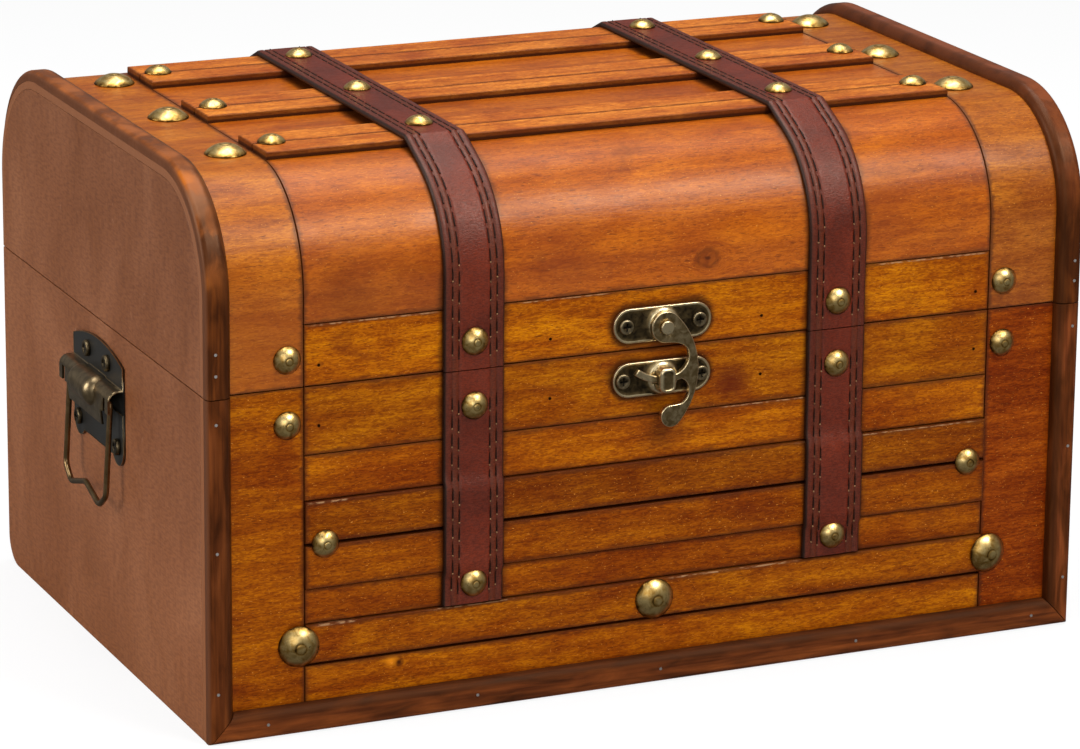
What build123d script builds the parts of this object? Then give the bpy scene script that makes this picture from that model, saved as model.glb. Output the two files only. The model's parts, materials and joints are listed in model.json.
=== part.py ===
from build123d import *

import math
import os

os.makedirs("parts", exist_ok=True)

# Overall size: width over the ends, depth from the front mouldings to the back wall
chest_width = 380.0
chest_depth = 250.0
chest_height = 224.0
lid_height = 85.0
seam_gap = 0.4
shoulder_radius = 48.0
back_corner_radius = 12.0

# Layers of the walls, from the inside out
end_panel_thickness = 9.0
wall_thickness = 8.0
bottom_thickness = 6.0
lid_shell_thickness = 5.0
facing_thickness = 3.5
back_facing_thickness = 3.0
moulding_proud = 4.5

# Facing boards and slats
corner_board_width = 40.7
board_joint = 0.7
slat_joint = 0.3
slat_groove = 1.3
raised_step = 1.2
edge_ease = 0.5
slat_line_shares = (1.0, 0.803, 0.670, 0.544, 0.414, 0.310, 0.191, 0.0)
slat_steps = ("flush", "flush", "raised", "raised", "flush", "raised", "flush")
slat_joints = ("tight", "tight", "groove", "tight", "tight", "groove", "tight")
lid_slat_share = 0.6658
top_slat_width = 15.0
top_slat_gap = 1.0
top_slat_thickness = 3.0
top_pair_spacing = 65.5

# Half-round mouldings
moulding_width = 10.5
bottom_moulding_height = 11.5
moulding_inner_round = 4.0
moulding_outer_round = 2.5
mitre_gap = 0.4
feather_angle = 75.0

# Leather straps
strap_width = 25.5
strap_thickness = 2.2
strap_place_share = 0.5304
strap_ramp = 2.0
strap_end_gap = 0.5

# Domed upholstery tacks
large_tack_diameter = 16.5
large_tack_height = 4.2
small_tack_diameter = 11.2
small_tack_height = 3.3
tack_rim = 0.4
tack_shank_diameter = 1.6
tack_shank_length = 7.0
large_tack_inset = 38.0
top_large_tack_inset = 30.0
groove_tack_inset = 49.0
corner_tack_inset = 34.0
seam_tack_drop = 14.5
seam_tack_rise = 11.5
strap_end_tack_share = 0.61

# Brads
brad_diameter = 1.2
brad_length = 8.0
brad_proud = 0.15
brad_edge = 3.5
latch_brad_spacing = 46.0
slat_end_brad_inset = 5.95
moulding_brad_shares = (0.15, 0.56, 0.93)
lid_moulding_brad_rises = (9.5, 18.0)
bottom_brad_shares = (-0.437, -0.205, 0.005, 0.237, 0.453)
slat_brad_rise = 8.2
slat_brad_drop = 16.0

# Latch: a swinging hook on the lid, an eye on the chest
latch_offset = 2.0
latch_plate_width = 42.6
latch_plate_height = 14.2
latch_plate_thickness = 1.2
latch_plate_rise = 10.0
eye_plate_drop = 12.2
latch_plate_ease = 0.4
latch_waist_width = 14.6
latch_waist_depth = 1.1
dais_radius = 6.9
dais_rise = 1.5
dais_bevel = 0.8
latch_screw_spacing = 15.9
eye_screw_spacing = 17.1
hook_thickness = 2.2
hook_clearance = 0.2
pivot_rise = 9.2
boss_radius = 6.4
rivet_radius = 2.0
rivet_clearance = 0.05
rivet_head_radius = 2.8
rivet_head_height = 1.0
prong_width = 2.8
prong_side_gap = 0.5
prong_face_gap = 0.4
prong_tip_angle = 36.0
prong_root_angle = 24.0
thumb_radius = 4.5
thumb_drop = 36.8
thumb_offset = 2.6
hook_edge_round = 0.45
eye_width = 7.2
eye_height = 10.4
eye_wall = 2.0
eye_round = 2.8
eye_edge_round = 1.2

# Screws
screw_head_radius = 3.0
screw_head_height = 1.1
screw_shank_radius = 1.3
screw_hole_radius = 1.6
screw_length = 8.0
screw_slot_width = 0.8
screw_slot_length = 3.4
screw_slot_depth = 0.6
handle_screw_head_radius = 3.4
handle_screw_head_height = 1.6

# Hinges on the back
hinge_strap_gap = 13.25
hinge_width = 30.0
hinge_leaf_height = 18.0
hinge_leaf_thickness = 1.2
knuckle_radius = 2.8
knuckle_gap = 0.3
hinge_pin_radius = 1.2
pin_clearance = 0.05
pin_head_height = 0.8
hinge_screw_inset = 7.0
hinge_screw_low = 12.0

# End handles: a pressed plate with a roll, and a wire bail
handle_plate_width = 60.0
handle_plate_thickness = 1.2
handle_bar_drop = 27.0
handle_shoulder_rise = 14.3
handle_arch_rise = 5.2
handle_ear_drop = 20.7
handle_ear_radius = 6.5
handle_waist_drop = 24.0
handle_top_screw_spacing = 12.0
handle_top_screw_rise = 12.2
handle_ear_screw_rise = 1.2
roll_depth = 6.2
roll_rise = 5.5
roll_drop = 4.0
roll_wall = 1.0
roll_outer_round = 4.0
roll_floor_thickness = 0.6
roll_ledge_drop = 5.0
flap_width = 40.0
flap_drop = 10.5
flap_lean = 0.8
stud_radius = 6.6
stud_length = 26.0
stud_rise = 1.4
stud_end_round = 4.6
wire_radius = 1.2
bail_half_width = 24.8
bail_offset = 4.4
bail_lean = 3.5
bail_bend_radius = 2.6
bail_low_drop = 45.0
bail_low_offset = 17.5
bail_side_drop = 39.5
bail_dip_drop = 40.0
bail_low_radius = 5.0
bail_dip_radius = 6.0
slot_side_gap = 0.5
slot_rise = 2.0

cut_overrun = 5.0

# Planes worked out from the sizes above
half_width = chest_width / 2
seam_height = chest_height - lid_height
handle_bar_height = seam_height - handle_bar_drop
inner_half_width = half_width - end_panel_thickness
front_y = -chest_depth / 2
back_y = chest_depth / 2
board_y = front_y + moulding_proud
raised_y = board_y - raised_step
panel_y = board_y + facing_thickness
inner_front_y = panel_y + wall_thickness
inner_back_y = back_y - wall_thickness
strap_face_y = board_y - strap_thickness
board_top = chest_height - moulding_proud
panel_top = board_top - facing_thickness
pair_top = board_top + top_slat_thickness
chest_top = seam_height - seam_gap / 2
lid_bottom = seam_height + seam_gap / 2
line_x = half_width - corner_board_width
board_end_x = line_x - board_joint / 2
corner_end_x = line_x + board_joint / 2
shoulder_z = chest_height - shoulder_radius
shoulder_y = front_y + shoulder_radius
back_shoulder_y = back_y - shoulder_radius
slat_lines = [share * chest_top for share in slat_line_shares]
raised_slats = [number for number, step in enumerate(slat_steps, start=1) if step == "raised"]
grooved_slats = [number for number, joint in enumerate(slat_joints, start=1) if joint == "groove"]
lid_slat_top = lid_bottom + (shoulder_z - lid_bottom) * lid_slat_share
pair_centres = (-top_pair_spacing, 0, top_pair_spacing)
pair_half_depth = top_slat_gap / 2 + top_slat_width
strap_spacing = board_end_x * strap_place_share
strap_centres = (-strap_spacing, strap_spacing)
hinge_spacing = strap_spacing + strap_width / 2 + hinge_strap_gap + hinge_width / 2
large_tack_spacing = half_width - large_tack_inset
top_large_tack_spacing = half_width - top_large_tack_inset
groove_tack_spacing = half_width - groove_tack_inset
corner_tack_spacing = half_width - corner_tack_inset
brad_spacings = (latch_brad_spacing, board_end_x - slat_end_brad_inset)
moulding_radius = shoulder_radius
board_radius = shoulder_radius - moulding_proud
panel_radius = board_radius - facing_thickness
shell_radius = panel_radius - lid_shell_thickness


def front_plane(y):
    """Sketching plane facing forwards, with X to the right and Z up."""
    return Plane(origin=(0, y, 0), x_dir=(1, 0, 0), z_dir=(0, -1, 0))


def board(x_low, x_high, y_low, y_high, z_low, z_high):
    """Plain board between two corners."""
    with BuildPart() as piece:
        with BuildSketch(Plane.XY.offset(z_low)):
            with Locations(((x_low + x_high) / 2, (y_low + y_high) / 2)):
                Rectangle(x_high - x_low, y_high - y_low)
        extrude(amount=z_high - z_low)
    return piece.part


def eased_board(x_low, x_high, y_low, y_high, z_low, z_high, axis, last):
    """Board whose outer face has its edges rubbed round."""
    with BuildPart() as piece:
        add(board(x_low, x_high, y_low, y_high, z_low, z_high))
        face = piece.faces().sort_by(axis)[-1 if last else 0]
        fillet(face.edges(), radius=edge_ease)
    return piece.part


def mirrored(part):
    """The same piece on the other end of the chest."""
    with BuildPart() as piece:
        mirror(part, about=Plane.YZ)
    return piece.part


def crown_face(front, back, top, front_radius, back_radius, base):
    """Outline of one lid layer seen from the end, with two round shoulders."""
    with BuildSketch() as outline:
        with BuildLine():
            Line((front, base), (front, top - front_radius))
            CenterArc((front + front_radius, top - front_radius), front_radius, 180, -90)
            Line((front + front_radius, top), (back - back_radius, top))
            CenterArc((back - back_radius, top - back_radius), back_radius, 90, -90)
            Line((back, top - back_radius), (back, base))
            Line((back, base), (front, base))
        make_face()
    return outline.sketch


def crown_solid(x_low, x_high, outline):
    """Lid layer outline drawn out from one side to the other."""
    with BuildPart() as piece:
        with BuildSketch(Plane.YZ.offset(x_low)):
            add(outline)
        extrude(amount=x_high - x_low)
    return piece.part


back_board_radius = shoulder_radius
back_panel_radius = back_board_radius - facing_thickness
panel_back_y = back_y - back_facing_thickness
board_outline = crown_face(board_y, back_y, board_top, board_radius, back_board_radius, lid_bottom)
panel_outline = crown_face(panel_y, panel_back_y, panel_top, panel_radius, back_panel_radius, lid_bottom)
shell_outline = crown_face(
    panel_y + lid_shell_thickness,
    panel_back_y - lid_shell_thickness,
    panel_top - lid_shell_thickness,
    shell_radius,
    back_panel_radius - lid_shell_thickness,
    lid_bottom,
)


def chest_section():
    """Outline of the chest under the seam, seen from the end, with its rounded back corner."""
    with BuildSketch() as outline:
        with BuildLine():
            Line((panel_y, 0), (back_y - back_corner_radius, 0))
            CenterArc((back_y - back_corner_radius, back_corner_radius), back_corner_radius, -90, 90)
            Line((back_y, back_corner_radius), (back_y, chest_top))
            Line((back_y, chest_top), (panel_y, chest_top))
            Line((panel_y, chest_top), (panel_y, 0))
        make_face()
    return outline.sketch


# Walls of the chest
bottom_board = board(-inner_half_width, inner_half_width, inner_front_y, inner_back_y, 0, bottom_thickness)
front_panel = board(-inner_half_width, inner_half_width, panel_y, inner_front_y, 0, chest_top)

with BuildPart() as back_panel:
    with BuildSketch(Plane.YZ.offset(-inner_half_width)):
        add(chest_section())
    extrude(amount=inner_half_width * 2)
    add(
        board(-half_width, half_width, inner_back_y, back_y, 0, chest_height),
        mode=Mode.INTERSECT,
    )

with BuildPart() as left_end_panel:
    with BuildSketch(Plane.YZ.offset(-half_width)):
        add(chest_section())
    extrude(amount=end_panel_thickness)

left_front_corner_board = board(-half_width, -corner_end_x, board_y, panel_y, 0, chest_top)


def front_slat(number):
    """One of the seven slats between the corner boards, counted down from the seam."""
    joint = slat_groove if number in grooved_slats else slat_joint
    upper_joint = slat_groove if number - 1 in grooved_slats else slat_joint
    top = slat_lines[number - 1] - (upper_joint / 2 if number > 1 else 0)
    last = number == len(slat_lines) - 1
    bottom = slat_lines[number] + (0 if last else joint / 2)
    face_y = raised_y if number in raised_slats else board_y
    return eased_board(-board_end_x, board_end_x, face_y, panel_y, bottom, top, Axis.Y, False)


front_slats = [front_slat(number) for number in range(1, len(slat_lines))]

# Mouldings of the chest, mitred at the lower corners
with BuildPart() as left_front_moulding:
    with BuildSketch(front_plane(board_y)):
        with BuildLine():
            Polyline(
                (-half_width, 0),
                (-half_width + moulding_width, bottom_moulding_height),
                (-half_width + moulding_width, chest_top),
                (-half_width, chest_top),
                close=True,
            )
        make_face()
    extrude(amount=moulding_proud)
    uprights = left_front_moulding.faces().sort_by(Axis.Y)[0].edges().filter_by(Axis.Z)
    fillet(uprights.sort_by(Axis.X)[-1], radius=moulding_inner_round)
    uprights = left_front_moulding.faces().sort_by(Axis.Y)[0].edges().filter_by(Axis.Z)
    fillet(uprights.sort_by(Axis.X)[0], radius=moulding_outer_round)

with BuildPart() as bottom_front_moulding:
    with BuildSketch(front_plane(board_y)):
        with BuildLine():
            Polyline(
                (-half_width + mitre_gap, 0),
                (half_width - mitre_gap, 0),
                (half_width - moulding_width - mitre_gap, bottom_moulding_height),
                (-half_width + moulding_width + mitre_gap, bottom_moulding_height),
                close=True,
            )
        make_face()
    extrude(amount=moulding_proud)
    rails = bottom_front_moulding.faces().sort_by(Axis.Y)[0].edges().filter_by(Axis.X)
    fillet(rails.sort_by(Axis.Z)[-1], radius=moulding_inner_round)
    rails = bottom_front_moulding.faces().sort_by(Axis.Y)[0].edges().filter_by(Axis.X)
    fillet(rails.sort_by(Axis.Z)[0], radius=moulding_outer_round)

# Walls, bands and skin of the lid
left_lid_end = crown_solid(-half_width, -inner_half_width, panel_outline)

with BuildPart() as lid_shell:
    add(crown_solid(-inner_half_width, inner_half_width, panel_outline))
    add(crown_solid(-half_width, half_width, shell_outline), mode=Mode.SUBTRACT)

with BuildPart() as left_lid_band:
    add(crown_solid(-half_width, -corner_end_x, board_outline))
    add(crown_solid(-half_width - cut_overrun, half_width, panel_outline), mode=Mode.SUBTRACT)

with BuildPart() as lid_skin:
    add(crown_solid(-board_end_x, board_end_x, board_outline))
    add(crown_solid(-half_width, half_width, panel_outline), mode=Mode.SUBTRACT)
    add(
        board(-half_width, half_width, front_y, panel_y, 0, lid_slat_top + slat_joint / 2),
        mode=Mode.SUBTRACT,
    )

lid_front_slat = eased_board(
    -board_end_x,
    board_end_x,
    board_y,
    panel_y,
    lid_bottom,
    lid_slat_top - slat_joint / 2,
    Axis.Y,
    False,
)

top_slats = []
for centre in pair_centres:
    for side in (-1, 1):
        near = centre + side * top_slat_gap / 2
        far = centre + side * pair_half_depth
        top_slats.append(
            eased_board(
                -board_end_x,
                board_end_x,
                min(near, far),
                max(near, far),
                board_top,
                pair_top,
                Axis.Z,
                True,
            )
        )

# Lid moulding: a half-round bent over the lid's edge, which thins out at the back
moulding_x = -half_width + moulding_width / 2
feather_z = shoulder_z + moulding_radius * math.cos(math.radians(feather_angle))

with BuildPart() as left_lid_moulding:
    with BuildLine(Plane.YZ.offset(moulding_x)):
        Line((front_y, lid_bottom), (front_y, shoulder_z))
        CenterArc((shoulder_y, shoulder_z), moulding_radius, 180, -90)
        Line((shoulder_y, chest_height), (back_shoulder_y, chest_height))
        CenterArc((back_shoulder_y, shoulder_z), moulding_radius, 90, -90)
    with BuildSketch(Plane.XY.offset(lid_bottom)) as moulding_section:
        with Locations((moulding_x, front_y + moulding_proud / 2)):
            Rectangle(moulding_width, moulding_proud)
        crest = moulding_section.vertices().group_by(Axis.Y)[0].sort_by(Axis.X)
        fillet(crest[-1], radius=moulding_inner_round)
        crest = moulding_section.vertices().group_by(Axis.Y)[0].sort_by(Axis.X)
        fillet(crest[0], radius=moulding_outer_round)
    sweep()
    add(crown_solid(-half_width - cut_overrun, half_width, board_outline), mode=Mode.SUBTRACT)
    add(
        board(-half_width - cut_overrun, 0, back_shoulder_y, back_y + cut_overrun, 0, feather_z),
        mode=Mode.SUBTRACT,
    )


def front_strap(centre):
    """Lower half of a strap on the front, which steps over the raised slats."""
    step_top = slat_lines[raised_slats[0] - 1]
    step_bottom = slat_lines[raised_slats[1]]
    strap_end = slat_lines[raised_slats[2] - 1] + strap_end_gap
    with BuildPart() as piece:
        with BuildSketch(Plane.YZ.offset(centre - strap_width / 2)):
            with BuildLine():
                Polyline(
                    (board_y, strap_end),
                    (board_y, step_bottom - strap_ramp),
                    (raised_y, step_bottom),
                    (raised_y, step_top),
                    (board_y, step_top + strap_ramp),
                    (board_y, chest_top),
                    (strap_face_y, chest_top),
                    (strap_face_y, step_top + strap_ramp),
                    (raised_y - strap_thickness, step_top),
                    (raised_y - strap_thickness, step_bottom),
                    (strap_face_y, step_bottom - strap_ramp),
                    (strap_face_y, strap_end),
                    close=True,
                )
            make_face()
        extrude(amount=strap_width)
    return piece.part


def back_strap(centre):
    """Lower half of a strap on the back."""
    strap_end = slat_lines[raised_slats[2] - 1] + strap_end_gap
    return board(
        centre - strap_width / 2,
        centre + strap_width / 2,
        back_y,
        back_y + strap_thickness,
        strap_end,
        chest_top,
    )


def tangent_point(edge_y, edge_z, centre_y, centre_z, radius, side):
    """Where a strap pulled down from an edge meets a round shoulder."""
    across = side * (edge_y - centre_y)
    up = edge_z - centre_z
    reach = math.hypot(across, up)
    angle = math.atan2(across, up) + math.acos(radius / reach)
    return (
        centre_y + side * radius * math.sin(angle),
        centre_z + radius * math.cos(angle),
        math.degrees(angle),
    )


def lid_strap(centre):
    """Upper half of a strap: up the front, over the slat pairs and down the back."""
    pair_edge = top_pair_spacing + pair_half_depth
    back_centre_z = board_top - back_board_radius
    front_y_point, front_z_point, front_angle = tangent_point(
        -pair_edge, pair_top, shoulder_y, shoulder_z, board_radius, -1
    )
    back_y_point, back_z_point, back_angle = tangent_point(
        pair_edge, pair_top, back_shoulder_y, back_centre_z, back_board_radius, 1
    )
    with BuildSketch() as under:
        with BuildLine():
            Line((board_y, lid_bottom), (board_y, shoulder_z))
            CenterArc((shoulder_y, shoulder_z), board_radius, 180, front_angle - 90)
            Line((front_y_point, front_z_point), (-pair_edge, pair_top))
            Line((-pair_edge, pair_top), (pair_edge, pair_top))
            Line((pair_edge, pair_top), (back_y_point, back_z_point))
            CenterArc((back_shoulder_y, back_centre_z), back_board_radius, 90 - back_angle, back_angle - 90)
            Line((back_y, back_centre_z), (back_y, lid_bottom))
            Line((back_y, lid_bottom), (board_y, lid_bottom))
        make_face()
    with BuildSketch() as over:
        add(under.sketch)
        offset(amount=strap_thickness, kind=Kind.ARC)
    with BuildPart() as piece:
        with BuildSketch(Plane.YZ.offset(centre - strap_width / 2)):
            add(over.sketch)
            add(under.sketch, mode=Mode.SUBTRACT)
        extrude(amount=strap_width)
        add(
            board(-chest_width, chest_width, -chest_depth, chest_depth, 0, lid_bottom),
            mode=Mode.SUBTRACT,
        )
    return piece.part


def domed_tack(diameter, height):
    """Domed tack standing on the origin, its shank pointing down."""
    radius = diameter / 2
    dome = height - tack_rim
    sphere_radius = (radius * radius + dome * dome) / (2 * dome)
    with BuildPart() as tack:
        with BuildSketch(Plane.XZ):
            with BuildLine():
                Line((0, -tack_shank_length), (tack_shank_diameter / 2, -tack_shank_length + tack_shank_diameter))
                Line(
                    (tack_shank_diameter / 2, -tack_shank_length + tack_shank_diameter),
                    (tack_shank_diameter / 2, 0),
                )
                Line((tack_shank_diameter / 2, 0), (radius, 0))
                Line((radius, 0), (radius, tack_rim))
                RadiusArc((radius, tack_rim), (0, height), -sphere_radius)
                Line((0, height), (0, -tack_shank_length))
            make_face()
        revolve(axis=Axis.Z)
    return tack.part


def on_front(x, y, z):
    """Place on a forward-facing surface."""
    return Plane(origin=(x, y, z), x_dir=(1, 0, 0), z_dir=(0, -1, 0))


def on_top(x, y, z):
    """Place on an upward-facing surface."""
    return Plane(origin=(x, y, z), x_dir=(1, 0, 0), z_dir=(0, 0, 1))


def on_back(x, y, z):
    """Place on a backward-facing surface."""
    return Plane(origin=(x, y, z), x_dir=(-1, 0, 0), z_dir=(0, 1, 0))


def group(fastener, places):
    """Several separate copies of one fastener."""
    with BuildPart() as pieces:
        for place in places:
            with Locations(place):
                add(fastener)
    return pieces.part


large_tack = domed_tack(large_tack_diameter, large_tack_height)
small_tack = domed_tack(small_tack_diameter, small_tack_height)
sides = (-1, 1)
low_tack_z = (slat_lines[raised_slats[2] - 1] + slat_lines[raised_slats[2]]) / 2
strap_foot_z = slat_lines[raised_slats[2] - 1] + strap_end_gap
strap_tack_z = strap_foot_z + (slat_lines[raised_slats[1]] - strap_foot_z) * strap_end_tack_share
groove_z = slat_lines[raised_slats[0]]
lower_tack_z = seam_height - seam_tack_drop
upper_tack_z = seam_height + seam_tack_rise



def leaning_tack_place(side):
    """Place of a large tack that leans on a raised slat's end and on the corner board."""
    slat_edge_x = board_end_x - edge_ease
    tack_edge_x = large_tack_spacing + large_tack_diameter / 2
    slope = raised_step / (tack_edge_x - slat_edge_x)
    seat_y = raised_y + slope * (large_tack_spacing - slat_edge_x)
    lean = math.atan(slope)
    return Plane(
        origin=(side * large_tack_spacing, seat_y, low_tack_z),
        x_dir=(math.cos(lean), side * math.sin(lean), 0),
        z_dir=(side * math.sin(lean), -math.cos(lean), 0),
    )


chest_large_tacks = group(
    large_tack,
    [leaning_tack_place(side) for side in sides] + [on_front(0, raised_y, low_tack_z)],
)
chest_small_tacks = group(
    small_tack,
    [on_front(side * corner_tack_spacing, board_y, lower_tack_z) for side in sides]
    + [on_front(side * groove_tack_spacing, raised_y, groove_z) for side in sides]
    + [on_front(x, strap_face_y, z) for x in strap_centres for z in (lower_tack_z, strap_tack_z)],
)
lid_large_tacks = group(
    large_tack,
    [on_top(side * top_large_tack_spacing, y, board_top) for side in sides for y in pair_centres],
)
lid_small_tacks = group(
    small_tack,
    [on_front(side * corner_tack_spacing, board_y, upper_tack_z) for side in sides]
    + [on_front(x, strap_face_y, upper_tack_z) for x in strap_centres]
    + [on_top(side * groove_tack_spacing, y, pair_top) for side in sides for y in pair_centres]
    + [on_top(x, y, pair_top + strap_thickness) for x in strap_centres for y in pair_centres],
)

with BuildPart() as brad:
    with BuildSketch(Plane.XY.offset(brad_proud - brad_length)):
        Circle(brad_diameter / 2)
    extrude(amount=brad_length)

brad_x = half_width - brad_edge
chest_brads = group(
    brad.part,
    [on_front(side * brad_x, front_y, share * seam_height) for side in sides for share in moulding_brad_shares]
    + [on_front(share * chest_width, front_y, bottom_moulding_height / 2) for share in bottom_brad_shares]
    + [
        on_front(side * spacing, board_y, seam_height - slat_brad_drop)
        for side in sides
        for spacing in brad_spacings
    ],
)
lid_brads = group(
    brad.part,
    [on_front(side * brad_x, front_y, seam_height + rise) for side in sides for rise in lid_moulding_brad_rises]
    + [
        on_front(side * spacing, board_y, seam_height + slat_brad_rise)
        for side in sides
        for spacing in brad_spacings
    ],
)

def crosshead_screw(head_radius, head_height):
    """Screw standing on the origin, with a rounded head and a cross recess."""
    with BuildPart() as piece:
        with BuildSketch():
            Circle(head_radius)
        extrude(amount=head_height)
        fillet(piece.faces().sort_by(Axis.Z)[-1].edges(), radius=head_height / 2)
        with BuildSketch(Plane.XY.offset(head_height)):
            Rectangle(screw_slot_length, screw_slot_width)
            Rectangle(screw_slot_width, screw_slot_length)
        extrude(amount=-screw_slot_depth, mode=Mode.SUBTRACT)
        with BuildSketch():
            Circle(screw_shank_radius)
        extrude(amount=-screw_length)
        chamfer(piece.faces().sort_by(Axis.Z)[0].edges(), length=screw_shank_radius / 2)
    return piece.part


screw = crosshead_screw(screw_head_radius, screw_head_height)
handle_screw = crosshead_screw(handle_screw_head_radius, handle_screw_head_height)

# Latch plate on the lid and eye plate on the chest
latch_plate_z = seam_height + latch_plate_rise
eye_plate_z = seam_height - eye_plate_drop
pivot_z = seam_height + pivot_rise
plate_face_y = board_y - latch_plate_thickness
dais_y = plate_face_y - dais_rise
hook_back_y = dais_y - hook_clearance
hook_face_y = hook_back_y - hook_thickness
prong_radius = pivot_z - eye_plate_z


def latch_plate_blank(plate_z, screw_spacing):
    """Oval plate with two screw holes and a raised middle."""
    with BuildPart() as plate:
        with BuildSketch(front_plane(board_y)):
            with Locations((latch_offset, plate_z)):
                SlotOverall(latch_plate_width, latch_plate_height)
                with GridLocations(0, latch_plate_height, 1, 2):
                    Rectangle(latch_waist_width, latch_waist_depth * 2, mode=Mode.SUBTRACT)
        extrude(amount=latch_plate_thickness)
        fillet(plate.faces().sort_by(Axis.Y)[0].edges(), radius=latch_plate_ease)
        with BuildSketch(front_plane(board_y)):
            with Locations((latch_offset, plate_z)):
                Circle(dais_radius)
        extrude(amount=latch_plate_thickness + dais_rise)
        chamfer(plate.faces().sort_by(Axis.Y)[0].edges(), length=dais_bevel)
        with BuildSketch(front_plane(board_y)):
            with Locations((latch_offset, plate_z)):
                with GridLocations(screw_spacing * 2, 0, 2, 1):
                    Circle(screw_hole_radius)
        extrude(amount=latch_plate_thickness, mode=Mode.SUBTRACT)
    return plate.part


with BuildPart() as latch_plate:
    add(latch_plate_blank(latch_plate_z, latch_screw_spacing))
    with BuildSketch(front_plane(board_y)):
        with Locations((latch_offset, pivot_z)):
            Circle(rivet_radius)
    extrude(amount=latch_plate_thickness + dais_rise, mode=Mode.SUBTRACT)

prong_back_y = hook_back_y + prong_face_gap
prong_front_y = hook_face_y - prong_face_gap
eye_front_y = prong_front_y - eye_wall
prong_slot_height = prong_width + prong_side_gap * 2

with BuildPart() as eye_plate:
    add(latch_plate_blank(eye_plate_z, eye_screw_spacing))
    with BuildSketch(front_plane(plate_face_y)):
        with Locations((latch_offset, eye_plate_z)):
            RectangleRounded(eye_width, eye_height, eye_round)
    extrude(amount=plate_face_y - eye_front_y)
    fillet(eye_plate.faces().sort_by(Axis.Y)[0].edges(), radius=eye_edge_round)
    with BuildSketch(Plane.YZ.offset(latch_offset - latch_plate_width / 2)):
        with Locations(((prong_back_y + prong_front_y) / 2, eye_plate_z)):
            Rectangle(prong_back_y - prong_front_y, prong_slot_height)
    extrude(amount=latch_plate_width, mode=Mode.SUBTRACT)

latch_plate_screws = group(
    screw,
    [on_front(latch_offset + side * latch_screw_spacing, plate_face_y, latch_plate_z) for side in sides],
)
eye_plate_screws = group(
    screw,
    [on_front(latch_offset + side * eye_screw_spacing, plate_face_y, eye_plate_z) for side in sides],
)

with BuildPart() as latch_rivet:
    with BuildSketch(front_plane(board_y)):
        with Locations((latch_offset, pivot_z)):
            Circle(rivet_radius)
    extrude(amount=board_y - hook_face_y + hook_clearance)
    with BuildSketch(front_plane(hook_face_y - hook_clearance)):
        with Locations((latch_offset, pivot_z)):
            Circle(rivet_head_radius)
    extrude(amount=rivet_head_height)
    fillet(latch_rivet.faces().sort_by(Axis.Y)[0].edges(), radius=rivet_head_height / 2)

# Swinging hook, drawn around its pivot: places are shares of the boss radius
arm_outer_shares = ((0.70, 0.70), (2.20, -2.44), (0.93, -6.22))
neck_shares = ((1.09, -5.00), (1.58, -4.30), (1.25, -3.50))
thumb_top_share = (0.47, -5.06)
prong_foot_share = (0.64, -3.18)
throat_share = (1.55, -1.97)
boss_foot_share = (0.0, -1.0)


def hook_place(share):
    """Point of the hook's outline, from its pivot."""
    return (latch_offset + share[0] * boss_radius, pivot_z + share[1] * boss_radius)


with BuildPart() as latch_hook:
    with BuildSketch(front_plane(hook_back_y)):
        with Locations((latch_offset, pivot_z)):
            Circle(boss_radius)
        with BuildLine():
            ThreePointArc(*[hook_place(share) for share in arm_outer_shares])
            Polyline(
                hook_place(arm_outer_shares[-1]),
                (latch_offset + thumb_offset, pivot_z - thumb_drop),
                hook_place(thumb_top_share),
                hook_place(neck_shares[0]),
            )
            ThreePointArc(*[hook_place(share) for share in neck_shares])
            Line(hook_place(neck_shares[-1]), hook_place(prong_foot_share))
            Spline(
                hook_place(prong_foot_share),
                hook_place(throat_share),
                hook_place(boss_foot_share),
                tangents=((1, 0.6), (-1, 0)),
            )
            Polyline(
                hook_place(boss_foot_share),
                (latch_offset, pivot_z),
                hook_place(arm_outer_shares[0]),
            )
        make_face()
        with Locations((latch_offset + thumb_offset, pivot_z - thumb_drop)):
            Circle(thumb_radius)
        with BuildLine():
            inner = prong_radius - prong_width / 2
            outer = prong_radius + prong_width / 2
            start = -90 - prong_tip_angle
            prong_angle = prong_tip_angle + prong_root_angle
            inner_arc = CenterArc((latch_offset, pivot_z), inner, start, prong_angle)
            outer_arc = CenterArc((latch_offset, pivot_z), outer, start, prong_angle)
            Line(inner_arc @ 0, outer_arc @ 0)
            Line(inner_arc @ 1, outer_arc @ 1)
        make_face()
    extrude(amount=hook_thickness)
    fillet(latch_hook.faces().sort_by(Axis.Y)[0].edges(), radius=hook_edge_round)
    with BuildSketch(front_plane(hook_back_y)):
        with Locations((latch_offset, pivot_z)):
            Circle(rivet_radius + rivet_clearance)
    extrude(amount=hook_thickness, mode=Mode.SUBTRACT)

# Hinges: two leaves with knuckles on one pin, on the back of the chest
hinge_axis_y = back_y + knuckle_radius + pin_clearance * 2
knuckle_length = hinge_width / 3
leaf_back_y = back_y + hinge_leaf_thickness
leaf_root = knuckle_radius + knuckle_gap


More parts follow.
